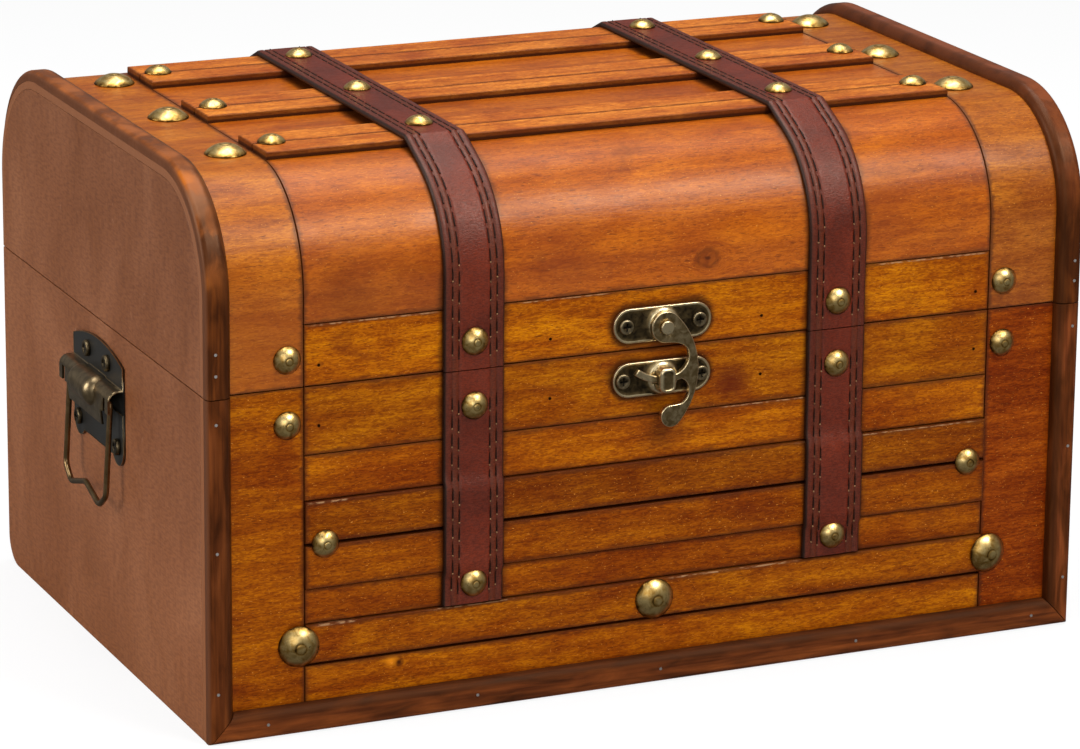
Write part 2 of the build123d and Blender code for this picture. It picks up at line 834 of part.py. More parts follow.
def hinge_leaf(centre, sign):
    """One leaf: a flat plate and its knuckles, below the seam or above it."""
    knuckles = [0] if sign > 0 else [-knuckle_length, knuckle_length]
    near = seam_height + sign * leaf_root
    far = seam_height + sign * hinge_leaf_height
    with BuildPart() as leaf:
        add(
            board(
                centre - hinge_width / 2,
                centre + hinge_width / 2,
                back_y,
                leaf_back_y,
                min(near, far),
                max(near, far),
            )
        )
        for offset_x in knuckles:
            low_x = centre + offset_x - knuckle_length / 2 + knuckle_gap / 2
            high_x = centre + offset_x + knuckle_length / 2 - knuckle_gap / 2
            strip_end = seam_height + sign * seam_gap
            add(
                board(
                    low_x,
                    high_x,
                    back_y,
                    leaf_back_y,
                    min(strip_end, near),
                    max(strip_end, near),
                )
            )
            with BuildSketch(Plane.YZ.offset(low_x)):
                with Locations((hinge_axis_y, seam_height)):
                    Circle(knuckle_radius)
            extrude(amount=high_x - low_x)
        with BuildSketch(Plane.YZ.offset(centre - hinge_width / 2)):
            with Locations((hinge_axis_y, seam_height)):
                Circle(hinge_pin_radius + pin_clearance)
        extrude(amount=hinge_width, mode=Mode.SUBTRACT)
        for side in sides:
            with Locations(hinge_screw_place(centre, side, sign)):
                Hole(screw_hole_radius, depth=hinge_leaf_thickness)
    return leaf.part


def hinge_screw_place(centre, side, sign):
    """Where one screw stands on a hinge leaf."""
    return on_back(centre + side * hinge_screw_inset, leaf_back_y, seam_height + sign * hinge_screw_low)


hinge_centres = (-hinge_spacing, hinge_spacing)


def hinge_leaves(sign):
    """The leaves of both hinges, below the seam or above it."""
    with BuildPart() as leaves:
        for centre in hinge_centres:
            add(hinge_leaf(centre, sign))
    return leaves.part


hinge_places = [(centre, side) for centre in hinge_centres for side in sides]
hinge_lower_screws = group(screw, [hinge_screw_place(centre, side, -1) for centre, side in hinge_places])
hinge_upper_screws = group(screw, [hinge_screw_place(centre, side, 1) for centre, side in hinge_places])

with BuildPart() as hinge_pins:
    for centre in hinge_centres:
        with BuildSketch(Plane.YZ.offset(centre - hinge_width / 2)):
            with Locations((hinge_axis_y, seam_height)):
                Circle(hinge_pin_radius)
        extrude(amount=hinge_width)
        for side in sides:
            with BuildSketch(Plane.YZ.offset(centre + side * hinge_width / 2)):
                with Locations((hinge_axis_y, seam_height)):
                    Circle(knuckle_radius)
            extrude(amount=side * pin_head_height)

# End handle, drawn on the left end: s runs along the end, u stands out from it
end_plane = Plane(origin=(-half_width, 0, 0), x_dir=(0, -1, 0), z_dir=(-1, 0, 0))
ear_offset = handle_plate_width / 2 - handle_ear_radius
ear_z = handle_bar_height - handle_ear_drop
shoulder_line = handle_bar_height + handle_shoulder_rise
waist_z = handle_bar_height - handle_waist_drop


def section_plane(half_length):
    """Plane across the handle, with u outwards and z up, at one end of a length."""
    return Plane(origin=(-half_width, -half_length, 0), x_dir=(-1, 0, 0), z_dir=(0, 1, 0))


def handle_stud():
    """Swelling in the middle of the roll, with rounded ends."""
    stud_z = handle_bar_height + roll_rise + stud_rise - stud_radius
    with BuildPart() as stud:
        with BuildSketch(section_plane(stud_length / 2)):
            with Locations((bail_offset, stud_z)):
                Circle(stud_radius)
        extrude(amount=stud_length)
        fillet(stud.edges().filter_by(GeomType.CIRCLE), radius=stud_end_round)
    return stud.part


with BuildPart() as left_handle_plate:
    with BuildSketch(end_plane):
        with BuildLine():
            half = handle_plate_width / 2
            Line((-half, ear_z), (-half, shoulder_line))
            ThreePointArc((-half, shoulder_line), (0, shoulder_line + handle_arch_rise), (half, shoulder_line))
            Line((half, shoulder_line), (half, ear_z))
            Line((half, ear_z), (-half, ear_z))
        make_face()
        with Locations((-ear_offset, ear_z), (ear_offset, ear_z)):
            Circle(handle_ear_radius)
        with Locations((0, (ear_z + waist_z) / 2)):
            Rectangle(ear_offset * 2, ear_z - waist_z)
    extrude(amount=handle_plate_thickness)
    # The roll: a tunnel open at its foot, closed behind the bar by the flap in the middle
    with BuildSketch(section_plane(handle_plate_width / 2)):
        with BuildLine():
            depth = handle_plate_thickness + roll_depth
            roof = handle_bar_height + roll_rise
            foot = handle_bar_height - roll_drop
            Line((0, foot), (0, roof))
            Line((0, roof), (depth - roll_outer_round, roof))
            CenterArc((depth - roll_outer_round, roof - roll_outer_round), roll_outer_round, 90, -90)
            Line((depth, roof - roll_outer_round), (depth, foot))
            Line((depth, foot), (0, foot))
        make_face()
    extrude(amount=handle_plate_width)
    add(handle_stud())
    with BuildSketch(section_plane(flap_width / 2)):
        with BuildLine():
            flap_foot = handle_bar_height - flap_drop
            Polyline(
                (depth, foot),
                (depth - flap_lean, flap_foot),
                (depth - flap_lean - roll_wall, flap_foot),
                (depth - roll_wall, foot),
                close=True,
            )
        make_face()
    extrude(amount=flap_width)
    with BuildSketch(section_plane(handle_plate_width)):
        with BuildLine():
            hollow_round = roll_outer_round - roll_wall
            hollow_depth = depth - roll_wall
            ceiling = roof - roll_wall
            ledge_z = handle_bar_height - roll_ledge_drop
            Line((roll_floor_thickness, ledge_z), (roll_floor_thickness, ceiling))
            Line((roll_floor_thickness, ceiling), (hollow_depth - hollow_round, ceiling))
            CenterArc((hollow_depth - hollow_round, ceiling - hollow_round), hollow_round, 90, -90)
            Line((hollow_depth, ceiling - hollow_round), (hollow_depth, foot))
            Line((hollow_depth, foot), (handle_plate_thickness, foot))
            Line((handle_plate_thickness, foot), (handle_plate_thickness, ledge_z))
            Line((handle_plate_thickness, ledge_z), (roll_floor_thickness, ledge_z))
        make_face()
    extrude(amount=handle_plate_width * 2, mode=Mode.SUBTRACT)
    add(
        board(-half_width, 0, -half_width, half_width, 0, chest_height),
        mode=Mode.SUBTRACT,
    )
    # Slots that let the two legs of the bail swing out
    with BuildSketch(end_plane.offset(handle_plate_thickness)):
        slot_foot = foot - roll_wall
        slot_top = handle_bar_height + slot_rise
        with Locations(
            (-bail_half_width, (slot_foot + slot_top) / 2),
            (bail_half_width, (slot_foot + slot_top) / 2),
        ):
            Rectangle((wire_radius + slot_side_gap) * 2, slot_top - slot_foot)
    extrude(amount=roll_depth + cut_overrun, mode=Mode.SUBTRACT)
    with BuildSketch(end_plane):
        with Locations(
            (-handle_top_screw_spacing, handle_bar_height + handle_top_screw_rise),
            (handle_top_screw_spacing, handle_bar_height + handle_top_screw_rise),
            (-ear_offset, ear_z + handle_ear_screw_rise),
            (ear_offset, ear_z + handle_ear_screw_rise),
        ):
            Circle(screw_hole_radius)
    extrude(amount=handle_plate_thickness, mode=Mode.SUBTRACT)


def handle_screw_places(side):
    """Four screws of the handle on one end."""
    places = []
    for s, z in (
        (-handle_top_screw_spacing, handle_bar_height + handle_top_screw_rise),
        (handle_top_screw_spacing, handle_bar_height + handle_top_screw_rise),
        (-ear_offset, ear_z + handle_ear_screw_rise),
        (ear_offset, ear_z + handle_ear_screw_rise),
    ):
        origin = (side * (half_width + handle_plate_thickness), s, z)
        places.append(Plane(origin=origin, x_dir=(0, side, 0), z_dir=(side, 0, 0)))
    return places


handle_screws = group(handle_screw, [place for side in sides for place in handle_screw_places(side)])

lean = math.radians(bail_lean)
bail_plane = Plane(
    origin=(-half_width - bail_offset, 0, handle_bar_height),
    x_dir=(0, -1, 0),
    z_dir=(-math.cos(lean), 0, math.sin(lean)),
)

with BuildPart() as left_bail:
    with BuildLine(bail_plane) as bail_path:
        FilletPolyline(
            (-bail_half_width, 0),
            (-bail_half_width, -bail_side_drop),
            (-bail_low_offset, -bail_low_drop),
            (0, -bail_dip_drop),
            (bail_low_offset, -bail_low_drop),
            (bail_half_width, -bail_side_drop),
            (bail_half_width, 0),
            radius=[
                bail_bend_radius,
                bail_low_radius,
                bail_low_radius,
                bail_dip_radius,
                bail_low_radius,
                bail_low_radius,
                bail_bend_radius,
            ],
            close=True,
        )
    with BuildSketch(Plane(origin=bail_path.line @ 0, z_dir=bail_path.line % 0)):
        Circle(wire_radius)
    sweep()

pieces = {
    "bottom_board": bottom_board,
    "front_panel": front_panel,
    "back_panel": back_panel.part,
    "left_end_panel": left_end_panel.part,
    "right_end_panel": mirrored(left_end_panel.part),
    "left_front_corner_board": left_front_corner_board,
    "right_front_corner_board": mirrored(left_front_corner_board),
    "left_front_moulding": left_front_moulding.part,
    "right_front_moulding": mirrored(left_front_moulding.part),
    "bottom_front_moulding": bottom_front_moulding.part,
    "front_left_strap": front_strap(-strap_spacing),
    "front_right_strap": front_strap(strap_spacing),
    "back_left_strap": back_strap(-strap_spacing),
    "back_right_strap": back_strap(strap_spacing),
    "chest_large_tacks": chest_large_tacks,
    "chest_small_tacks": chest_small_tacks,
    "chest_brads": chest_brads,
    "eye_plate": eye_plate.part,
    "eye_plate_screws": eye_plate_screws,
    "hinge_lower_leaves": hinge_leaves(-1),
    "hinge_lower_screws": hinge_lower_screws,
    "hinge_pins": hinge_pins.part,
    "left_handle_plate": left_handle_plate.part,
    "right_handle_plate": mirrored(left_handle_plate.part),
    "handle_screws": handle_screws,
    "left_lid_end": left_lid_end,
    "right_lid_end": mirrored(left_lid_end),
    "lid_shell": lid_shell.part,
    "left_lid_band": left_lid_band.part,
    "right_lid_band": mirrored(left_lid_band.part),
    "lid_skin": lid_skin.part,
    "lid_front_slat": lid_front_slat,
    "left_lid_moulding": left_lid_moulding.part,
    "right_lid_moulding": mirrored(left_lid_moulding.part),
    "left_lid_strap": lid_strap(-strap_spacing),
    "right_lid_strap": lid_strap(strap_spacing),
    "lid_large_tacks": lid_large_tacks,
    "lid_small_tacks": lid_small_tacks,
    "lid_brads": lid_brads,
    "latch_plate": latch_plate.part,
    "latch_plate_screws": latch_plate_screws,
    "latch_rivet": latch_rivet.part,
    "hinge_upper_leaves": hinge_leaves(1),
    "hinge_upper_screws": hinge_upper_screws,
    "latch_hook": latch_hook.part,
    "left_bail": left_bail.part,
    "right_bail": mirrored(left_bail.part),
}
for number, slat in enumerate(front_slats, start=1):
    pieces[f"front_slat_{number}"] = slat
for number, slat in enumerate(top_slats, start=1):
    pieces[f"top_slat_{number}"] = slat

for name, piece in pieces.items():
    piece.label = name
    export_step(piece, f"parts/{name}.step")
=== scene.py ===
"""Looks of a wooden treasure chest: stained boards, stitched straps, brass tacks, bronze latch and handles.

Sizes are in millimetres, and MM turns them to metres where a mesh is made. X runs to the right,
Y to the back and Z up, from the middle of the chest's foot.
"""

import json
import logging
import math
from dataclasses import dataclass, field
from enum import Enum
from typing import Sequence

import bmesh
import bpy
from mathutils import Matrix, Vector, noise


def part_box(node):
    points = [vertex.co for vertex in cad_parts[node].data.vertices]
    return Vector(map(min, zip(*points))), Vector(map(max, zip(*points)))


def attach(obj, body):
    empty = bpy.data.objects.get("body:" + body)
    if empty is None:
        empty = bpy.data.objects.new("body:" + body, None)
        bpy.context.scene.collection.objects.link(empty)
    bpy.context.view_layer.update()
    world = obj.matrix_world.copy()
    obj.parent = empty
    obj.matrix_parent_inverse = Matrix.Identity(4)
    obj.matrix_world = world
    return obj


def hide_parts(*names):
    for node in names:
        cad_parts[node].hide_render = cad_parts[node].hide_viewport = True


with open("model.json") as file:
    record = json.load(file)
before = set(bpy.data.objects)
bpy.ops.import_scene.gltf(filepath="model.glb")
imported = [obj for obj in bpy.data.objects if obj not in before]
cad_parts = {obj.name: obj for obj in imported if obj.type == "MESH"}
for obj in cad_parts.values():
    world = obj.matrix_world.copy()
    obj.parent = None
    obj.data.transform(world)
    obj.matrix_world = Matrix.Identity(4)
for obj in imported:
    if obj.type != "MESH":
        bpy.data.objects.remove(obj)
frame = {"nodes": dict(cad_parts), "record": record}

MM = 0.001
LOG = logging.getLogger("treasure chest")
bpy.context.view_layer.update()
BODY_OF = {node: body for body, nodes in frame["record"]["behaviour"]["bodies"].items() for node in nodes}
SIDES = (-1, 1)
FRONT = Vector((0, -1, 0))

# Turns a shape that stands along Z to face forward, and spins a section into a round shape
FORWARD = Matrix.Rotation(math.pi / 2, 4, "X")
SPUN = {"cent": (0, 0, 0), "axis": (0, 0, 1), "angle": math.tau, "steps": 48, "use_merge": True}

# The curve of a map range that starts and ends softly
SMOOTH = "MapRange:SMOOTHSTEP"

# Faces of the plain and the raised front slats, and the top of the raised pairs on the lid
BOARD_Y = -120.5
RAISED_Y = -121.7
PAIR_TOP = 222.5

# A strap's centre line, half its width, and the lines of its two channels from that centre
STRAP_AT = 79.003
STRAP_HALF = 12.75
CHANNELS = (6.6, 9.35)

Point = tuple[float, float, float]
Pair = tuple[float, float]
Pairs = tuple[Pair, ...]
Socket = bpy.types.NodeSocket


def linear(tint: str) -> tuple[float, float, float, float]:
    """The linear colour of an sRGB hex value.

    Args:
        tint: The colour, as in "#8a5a2b".

    Returns:
        Red, green, blue and a full alpha, as shader sockets take them.
    """
    shares = [int(tint[at : at + 2], 16) / 255 for at in (1, 3, 5)]
    red, green, blue = [s / 12.92 if s <= 0.04045 else ((s + 0.055) / 1.055) ** 2.4 for s in shares]
    return red, green, blue, 1.0


class NodeSheet:
    """The nodes of one material, world or floor."""

    CHOICES = {
        "Math": "operation",
        "VectorMath": "operation",
        "MapRange": "interpolation_type",
        "Mix": "blend_type",
    }
    COLOUR_INPUTS, COLOUR_OUTPUT = (0, 6, 7), 2

    def __init__(self, tree: bpy.types.NodeTree) -> None:
        """Empties the tree.

        Args:
            tree: The node tree that the sheet fills.
        """
        self.tree = tree
        self.tree.nodes.clear()

    def add(
        self, kind: str, *sources: object, output: int | str = 0, **named: object
    ) -> Socket | bpy.types.Node:
        """Adds a node with its settings and links. A Mix node mixes colours.

        Args:
            kind: The node's type without its ShaderNode prefix, and after a colon its operation or blend.
            sources: What its first inputs take: another node's output, a value or a hex colour.
            output: The output to hand back.
            named: Its properties in small letters, its inputs by name with _ for a space, and "stops"
                for a colour ramp's places and hex colours.

        Returns:
            That output, or the node itself where it has none.
        """
        kind, _, choice = kind.partition(":")
        node = self.tree.nodes.new("ShaderNode" + kind)
        inputs = list(node.inputs)
        if choice:
            setattr(node, self.CHOICES[kind], choice)
        if kind == "Mix":
            node.data_type = "RGBA"
            inputs, output = [inputs[at] for at in self.COLOUR_INPUTS], self.COLOUR_OUTPUT
        feeds = list(zip(inputs, sources))
        for name, value in named.items():
            if name == "stops":
                elements = node.color_ramp.elements
                elements.remove(elements[1])
                elements[0].position, elements[0].color = value[0][0], linear(value[0][1])
                for place, tint in value[1:]:
                    elements.new(place).color = linear(tint)
            elif name.islower():
                setattr(node, name, value)
            else:
                feeds.append((node.inputs[name.replace("_", " ")], value))
        for socket, source in feeds:
            if isinstance(source, Socket):
                self.tree.links.new(source, socket)
            else:
                socket.default_value = linear(source) if isinstance(source, str) else source
        return node.outputs[output] if node.outputs else node


class Grain(Enum):
    """The way that the grain of a board runs."""

    ACROSS = "x"
    UPRIGHT = "z"


@dataclass(frozen=True)
class EdgeBox:
    """The box of a board, whose edges hold more stain, and the axes that its face lies in."""

    low: Point
    high: Point
    axes: str = "xz"

    @classmethod
    def of(cls, node: str, axes: str = "xz", **changed: float) -> "EdgeBox":
        """The box of a CAD node.

        Args:
            node: The node's name.
            axes: The two axes that the board's face lies in.
            changed: A corner's coordinate that isn't the node's own, such as high_z=400.

        Returns:
            The box, in millimetres.
        """
        corners = [[c / MM for c in corner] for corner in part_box(node)]
        for name, value in changed.items():
            end, axis = name.split("_")
            corners[end == "high"]["xyz".index(axis)] = value
        return cls(tuple(corners[0]), tuple(corners[1]), axes)


@dataclass(frozen=True)
class Knot:
    """A knot with its rings, on a forward-facing board."""

    x: float
    z: float
    reach: float
    depth: float = 0.8


@dataclass(frozen=True)
class Patch:
    """A round, soft place where dirt or stain has gathered."""

    at: Point
    reach: float
    strength: float = 0.6
    tint: str = "#3a1608"


@dataclass(frozen=True)
class Filler:
    """A thin pale line of putty and bare wood along a joint."""

    z: float
    x_low: float
    x_high: float
    half: float = 0.45


@dataclass(frozen=True)
class ShadowHalo:
    """Painted shade round a fitting with rounded ends: its contact shadow on the wood."""

    x: float
    z: float
    half_long: float = 14.2
    radius: float = 7.1
    reach: float = 3.2
    strength: float = 0.85


@dataclass(frozen=True)
class Spots:
    """Spots of a noise, with their length along the grain, their width and where in the noise they lie."""

    along: float
    across: float
    salt: float
    detail: float = 2.0
    wander: float = 0.0


@dataclass(frozen=True)
class Finish:
    """What a material is and how it is painted."""

    name: str

    def paint(self, sheet: NodeSheet, place: Socket) -> Socket:
        """Adds the material's nodes.

        Args:
            sheet: The sheet that they go on.
            place: The coordinate in millimetres.

        Returns:
            The shader.
        """
        raise NotImplementedError

    def build(self) -> bpy.types.Material:
        """Makes the material.

        Returns:
            The finished material.
        """
        material = bpy.data.materials.new(self.name)
        material.use_nodes = True
        sheet = NodeSheet(material.node_tree)
        place = sheet.add("VectorMath:SCALE", sheet.add("TexCoord", output="Object"), Scale=1 / MM)
        sheet.add("OutputMaterial", self.paint(sheet, place))
        return material


@dataclass(frozen=True)
class Grained(Finish):
    """A finish whose patterns follow the grain of a board."""

    grain: Grain = Grain.ACROSS
    salt: float = 0.0

    def drawn_out(self, sheet: NodeSheet, place: Socket, spots: Spots) -> Socket:
        """A noise whose spots are drawn out along the grain.

        Args:
            sheet: The material's nodes.
            place: The coordinate in millimetres.
            spots: The spots.

        Returns:
            The pattern's value, about 0.5 in the middle.
        """
        sizes = [spots.along if axis == self.grain.value else spots.across for axis in "xyz"]
        shift = [self.salt * 7.3 + spots.salt * 3.1, spots.salt * 5.7, self.salt * 2.9]
        moved = sheet.add("Mapping", place, Location=shift, Scale=[1 / size for size in sizes])
        return sheet.add("TexNoise", Vector=moved, Scale=1.0, Detail=spots.detail, Distortion=spots.wander)


@dataclass(frozen=True)
class StainedPine(Grained):
    """Sawn softwood facing, stained orange-brown and varnished by brush.

    The stain gives slow clouds from gold to red-brown, short wavy pores and darker edges; the
    varnish gives a soft sheen that the grain breaks up.
    """

    tone: str = "#b4661a"
    edges: EdgeBox | None = None
    edge_reach: float = 3.0
    knots: tuple[Knot, ...] = ()
    patches: tuple[Patch, ...] = ()
    fillers: tuple[Filler, ...] = ()
    # Painted contact shadow round fittings
    shadow_halos: tuple[ShadowHalo, ...] = ()
    # Whether shadow is painted beside the straps and just under their feet
    shadow_beside_straps: bool = True
    strap_foot: float = 43.5
    # Height under which the board is painted in shade, along the foot of a raised slat
    painted_shade_below: float | None = None
    end_from: float = 189.6
    gloss: float = 0.13
    sheen: str = "#ffb890"
    rough: Pair = (0.38, 0.56)
    contrast: float = 1.0

    def knotted(self, sheet: NodeSheet, place: Socket) -> tuple[Socket, list[Socket]]:
        """Bends the grain round the knots.

        Args:
            sheet: The material's nodes.
            place: The coordinate in millimetres.

        Returns:
            The bent coordinate, and how dark each knot's rings are.
        """
        add = sheet.add
        rings = []
        for knot in self.knots:
            offset = add("VectorMath:SUBTRACT", place, (knot.x, 0.0, knot.z))
            offset = add("VectorMath:MULTIPLY", offset, (0.8, 0.0, 1.0))
            wavy = add("TexNoise", Vector=offset, Scale=0.35, Detail=1.0)
            far = add("VectorMath:LENGTH", offset, output="Value")
            far = add("Math:MULTIPLY_ADD", wavy, knot.reach * 0.35, far)
            # The knot is only on the front, so the back half of the chest is put 400 mm away from it
            behind = add("Math:GREATER_THAN", add("SeparateXYZ", place, output="Y"), 0.0)
            far = add("Math:MULTIPLY_ADD", behind, 400.0, far)
            near = add("MapRange:SMOOTHERSTEP", far, knot.reach * 0.2, knot.reach * 1.9, 1.0, 0.0)
            pull = add("VectorMath:MULTIPLY", offset, (0.0, 0.0, 0.85))
            place = add("VectorMath:SUBTRACT", place, add("VectorMath:SCALE", pull, Scale=near))
            ripple = add("Math:SINE", add("Math:MULTIPLY", far, 11.0 / knot.reach))
            ring = add("MapRange", ripple, -0.4, 1.0, 0.45, 1.0)
            heart, core = (
                add(SMOOTH, far, knot.reach * start, knot.reach * end, 1.0, 0.0)
                for start, end in ((0.3, 1.15), (0.22, 0.42))
            )
            share = add("Math:MAXIMUM", add("Math:MULTIPLY", ring, heart), core)
            rings.append(add("Math:MULTIPLY", share, knot.depth))
        return place, rings

    def edged(self, sheet: NodeSheet, place: Socket, shade: Socket) -> Socket:
        """Darkens the board towards its edges.

        Args:
            sheet: The material's nodes.
            place: The coordinate in millimetres.
            shade: The wood's colour.

        Returns:
            The colour with dark edges.
        """
        add = sheet.add
        low, high = Vector(self.edges.low), Vector(self.edges.high)
        away = add("VectorMath:ABSOLUTE", add("VectorMath:SUBTRACT", place, (low + high) / 2))
        inside = add("SeparateXYZ", add("VectorMath:SUBTRACT", (high - low) / 2, away)).node.outputs
        least = add("Math:MINIMUM", *(inside[axis.upper()] for axis in self.edges.axes))
        ragged = self.drawn_out(sheet, place, Spots(9.0, 2.0, 40.0, 3.0, 0.4))
        reach = add("MapRange", ragged, 0.3, 0.75, self.edge_reach * 0.35, self.edge_reach * 1.9)
        return add("Mix", add(SMOOTH, least, 0.0, reach, 0.72, 0.0), shade, "#3d1a0a")

    def filled(self, sheet: NodeSheet, place: Socket, shade: Socket) -> Socket:
        """Lays broken lines of pale filler in the joints.

        Args:
            sheet: The material's nodes.
            place: The coordinate in millimetres.
            shade: The wood's colour.

        Returns:
            The colour with its filler.
        """
        add = sheet.add
        apart = add("SeparateXYZ", place).node.outputs
        crumbs = self.drawn_out(sheet, place, Spots(3.2, 1.1, 8.0))
        broken = add(SMOOTH, crumbs, 0.42, 0.58, 0.05, 0.8)
        for filler in self.fillers:
            middle, span = (filler.x_low + filler.x_high) / 2, (filler.x_high - filler.x_low) / 2
            off, beside = (
                add("Math:ABSOLUTE", add("Math:SUBTRACT", apart[axis], centre))
                for axis, centre in (("Z", filler.z), ("X", middle))
            )
            line = add(SMOOTH, off, filler.half * 0.35, filler.half * 1.1, 1.0, 0.0)
            held = add(SMOOTH, beside, span * 0.8, span, 1.0, 0.0)
            share = add("Math:MULTIPLY", add("Math:MULTIPLY", line, held), broken)
            shade = add("Mix", share, shade, "#94704e")
        return shade

    def shadowed(self, sheet: NodeSheet, place: Socket, shade: Socket, smoke: Socket) -> Socket:
        """Paints shade beside the straps, round the latch and under the raised slats, and the end's stain on
        the side.

        Args:
            sheet: The material's nodes.
            place: The coordinate in millimetres.
            shade: The wood's colour.
            smoke: A pattern that makes the painted shade's outline uneven.

        Returns:
            The colour with its painted shade and its side's stain.
        """
        add = sheet.add
        apart = add("SeparateXYZ", place).node.outputs
        # Painted shadow on the wood beside each strap and just under its foot
        if self.shadow_beside_straps:
            off = add("Math:SUBTRACT", add("Math:ABSOLUTE", apart["X"]), STRAP_AT)
            reach = add("MapRange", smoke, 0.3, 0.7, STRAP_HALF + 0.85, STRAP_HALF + 4.75)
            painted_shadow = add(SMOOTH, add("Math:ABSOLUTE", off), STRAP_HALF - 0.35, reach, 0.7, 0.0)
            above = add("MapRange", apart["Z"], self.strap_foot - 2.2, self.strap_foot - 0.4, 0.0, 1.0)
            shade = add("Mix", add("Math:MULTIPLY", painted_shadow, above), shade, "#2a1005")
        # Painted contact shadow round the latch's plates
        for shadow_halo in self.shadow_halos:
            off = add("VectorMath:SUBTRACT", place, (shadow_halo.x, 0.0, shadow_halo.z))
            off = add("VectorMath:ABSOLUTE", add("VectorMath:MULTIPLY", off, (1.0, 0.0, 1.0)))
            off = add("VectorMath:SUBTRACT", off, (shadow_halo.half_long, 0.0, 0.0))
            off = add("VectorMath:LENGTH", add("VectorMath:MAXIMUM", off, (0.0, 0.0, 0.0)), output="Value")
            ends = (shadow_halo.radius + shadow_halo.reach * share for share in (0.6, 1.5))
            reach = add("MapRange", smoke, 0.3, 0.7, *ends)
            painted_shadow = add(SMOOTH, off, shadow_halo.radius, reach, shadow_halo.strength, 0.0)
            shade = add("Mix", painted_shadow, shade, "#1c0a03")
        # Painted shade along the foot of a raised slat's sides, where it stands on the lid
        if self.painted_shade_below is not None:
            under = add("MapRange", apart["Z"], self.painted_shade_below, self.painted_shade_below + 0.5, 0.9, 0.0)
            shade = add("Mix", under, shade, "#2b1006")
        # The side of the board belongs to the chest's end and has the end's brown stain
        outside = add("Math:ABSOLUTE", apart["X"])
        side = add("MapRange", outside, self.end_from - 0.25, self.end_from + 0.1, 0.0, 1.0)
        return add("Mix", side, shade, "#784a2e")

    def paint(self, sheet: NodeSheet, place: Socket) -> Socket:
        """Adds the material's nodes.

        Args:
            sheet: The sheet that they go on.
            place: The coordinate in millimetres.

        Returns:
            The shader.
        """
        add = sheet.add
        bent, rings = self.knotted(sheet, place)
        shade = self.tone
        # The stain, from slow clouds through long bands and streaks to fine fibres
        for spots, stops, strength in (
            (Spots(48.0, 22.0, 1.0, 3.0, 0.9), ((0.34, "#c79f78"), (0.5, "#e6d6bc"), (0.66, "#ffffff")), 0.85),
            (Spots(150.0, 4.5, 2.0, 3.0, 0.5), ((0.38, "#cdb097"), (0.58, "#ffffff")), 0.6),
            (Spots(13.0, 1.8, 9.0, 3.0, 1.0), ((0.36, "#cdae92"), (0.62, "#ffffff")), 0.6),
            (Spots(2.8, 0.65, 3.0, 2.0, 1.2), ((0.38, "#b89a7c"), (0.6, "#ffffff")), 0.78),
        ):
            layer = add("ValToRGB", self.drawn_out(sheet, bent, spots), stops=stops)
            shade = add("Mix:MULTIPLY", strength * self.contrast, shade, layer)
        for share in rings:
            shade = add("Mix", share, shade, "#461804")
        # Open pores, drawn 0.5 mm wide so that they show, smoky clouds, and nicks in the varnish
        pores = self.drawn_out(sheet, bent, Spots(3.2, 0.5, 4.0, 1.0, 0.6))
        smoke = self.drawn_out(sheet, bent, Spots(30.0, 15.0, 6.0, 4.0, 0.8))
        nicks = self.drawn_out(sheet, bent, Spots(1.1, 0.5, 14.0, 1.0))
        for pattern, start, end, most, tint in (
            (pores, 0.6, 0.72, 0.55, "#4a1c04"),
            (smoke, 0.56, 0.74, 0.35, "#561f06"),
            (nicks, 0.7, 0.77, 0.7, "#c07a2c"),
        ):
            shade = add("Mix", add(SMOOTH, pattern, start, end, 0.0, most), shade, tint)
        for patch in self.patches:
            far = add("VectorMath:DISTANCE", place, patch.at, output="Value")
            ragged = add("Math:MULTIPLY_ADD", smoke, patch.reach * 1.2, far)
            ends = (patch.reach * 0.5, patch.reach * 1.7, patch.strength, 0.0)
            shade = add("Mix", add("MapRange:SMOOTHERSTEP", ragged, *ends), shade, patch.tint)
        if self.edges is not None:
            shade = self.edged(sheet, place, shade)
        if self.fillers:
            shade = self.filled(sheet, place, shade)
        shade = self.shadowed(sheet, place, shade, smoke)

        fibres = self.drawn_out(sheet, bent, Spots(14.0, 1.6, 5.0, 2.0, 0.4))
        relief = add("Math:MULTIPLY_ADD", pores, -0.7, fibres)
        return add(
            "BsdfPrincipled",
            shade,
            Roughness=add("MapRange", smoke, 0.3, 0.75, *self.rough),
            Specular_IOR_Level=self.gloss,
            Specular_Tint=self.sheen,
            Normal=add("Bump", Strength=0.35, Distance=0.12 * MM, Height=relief),
        )


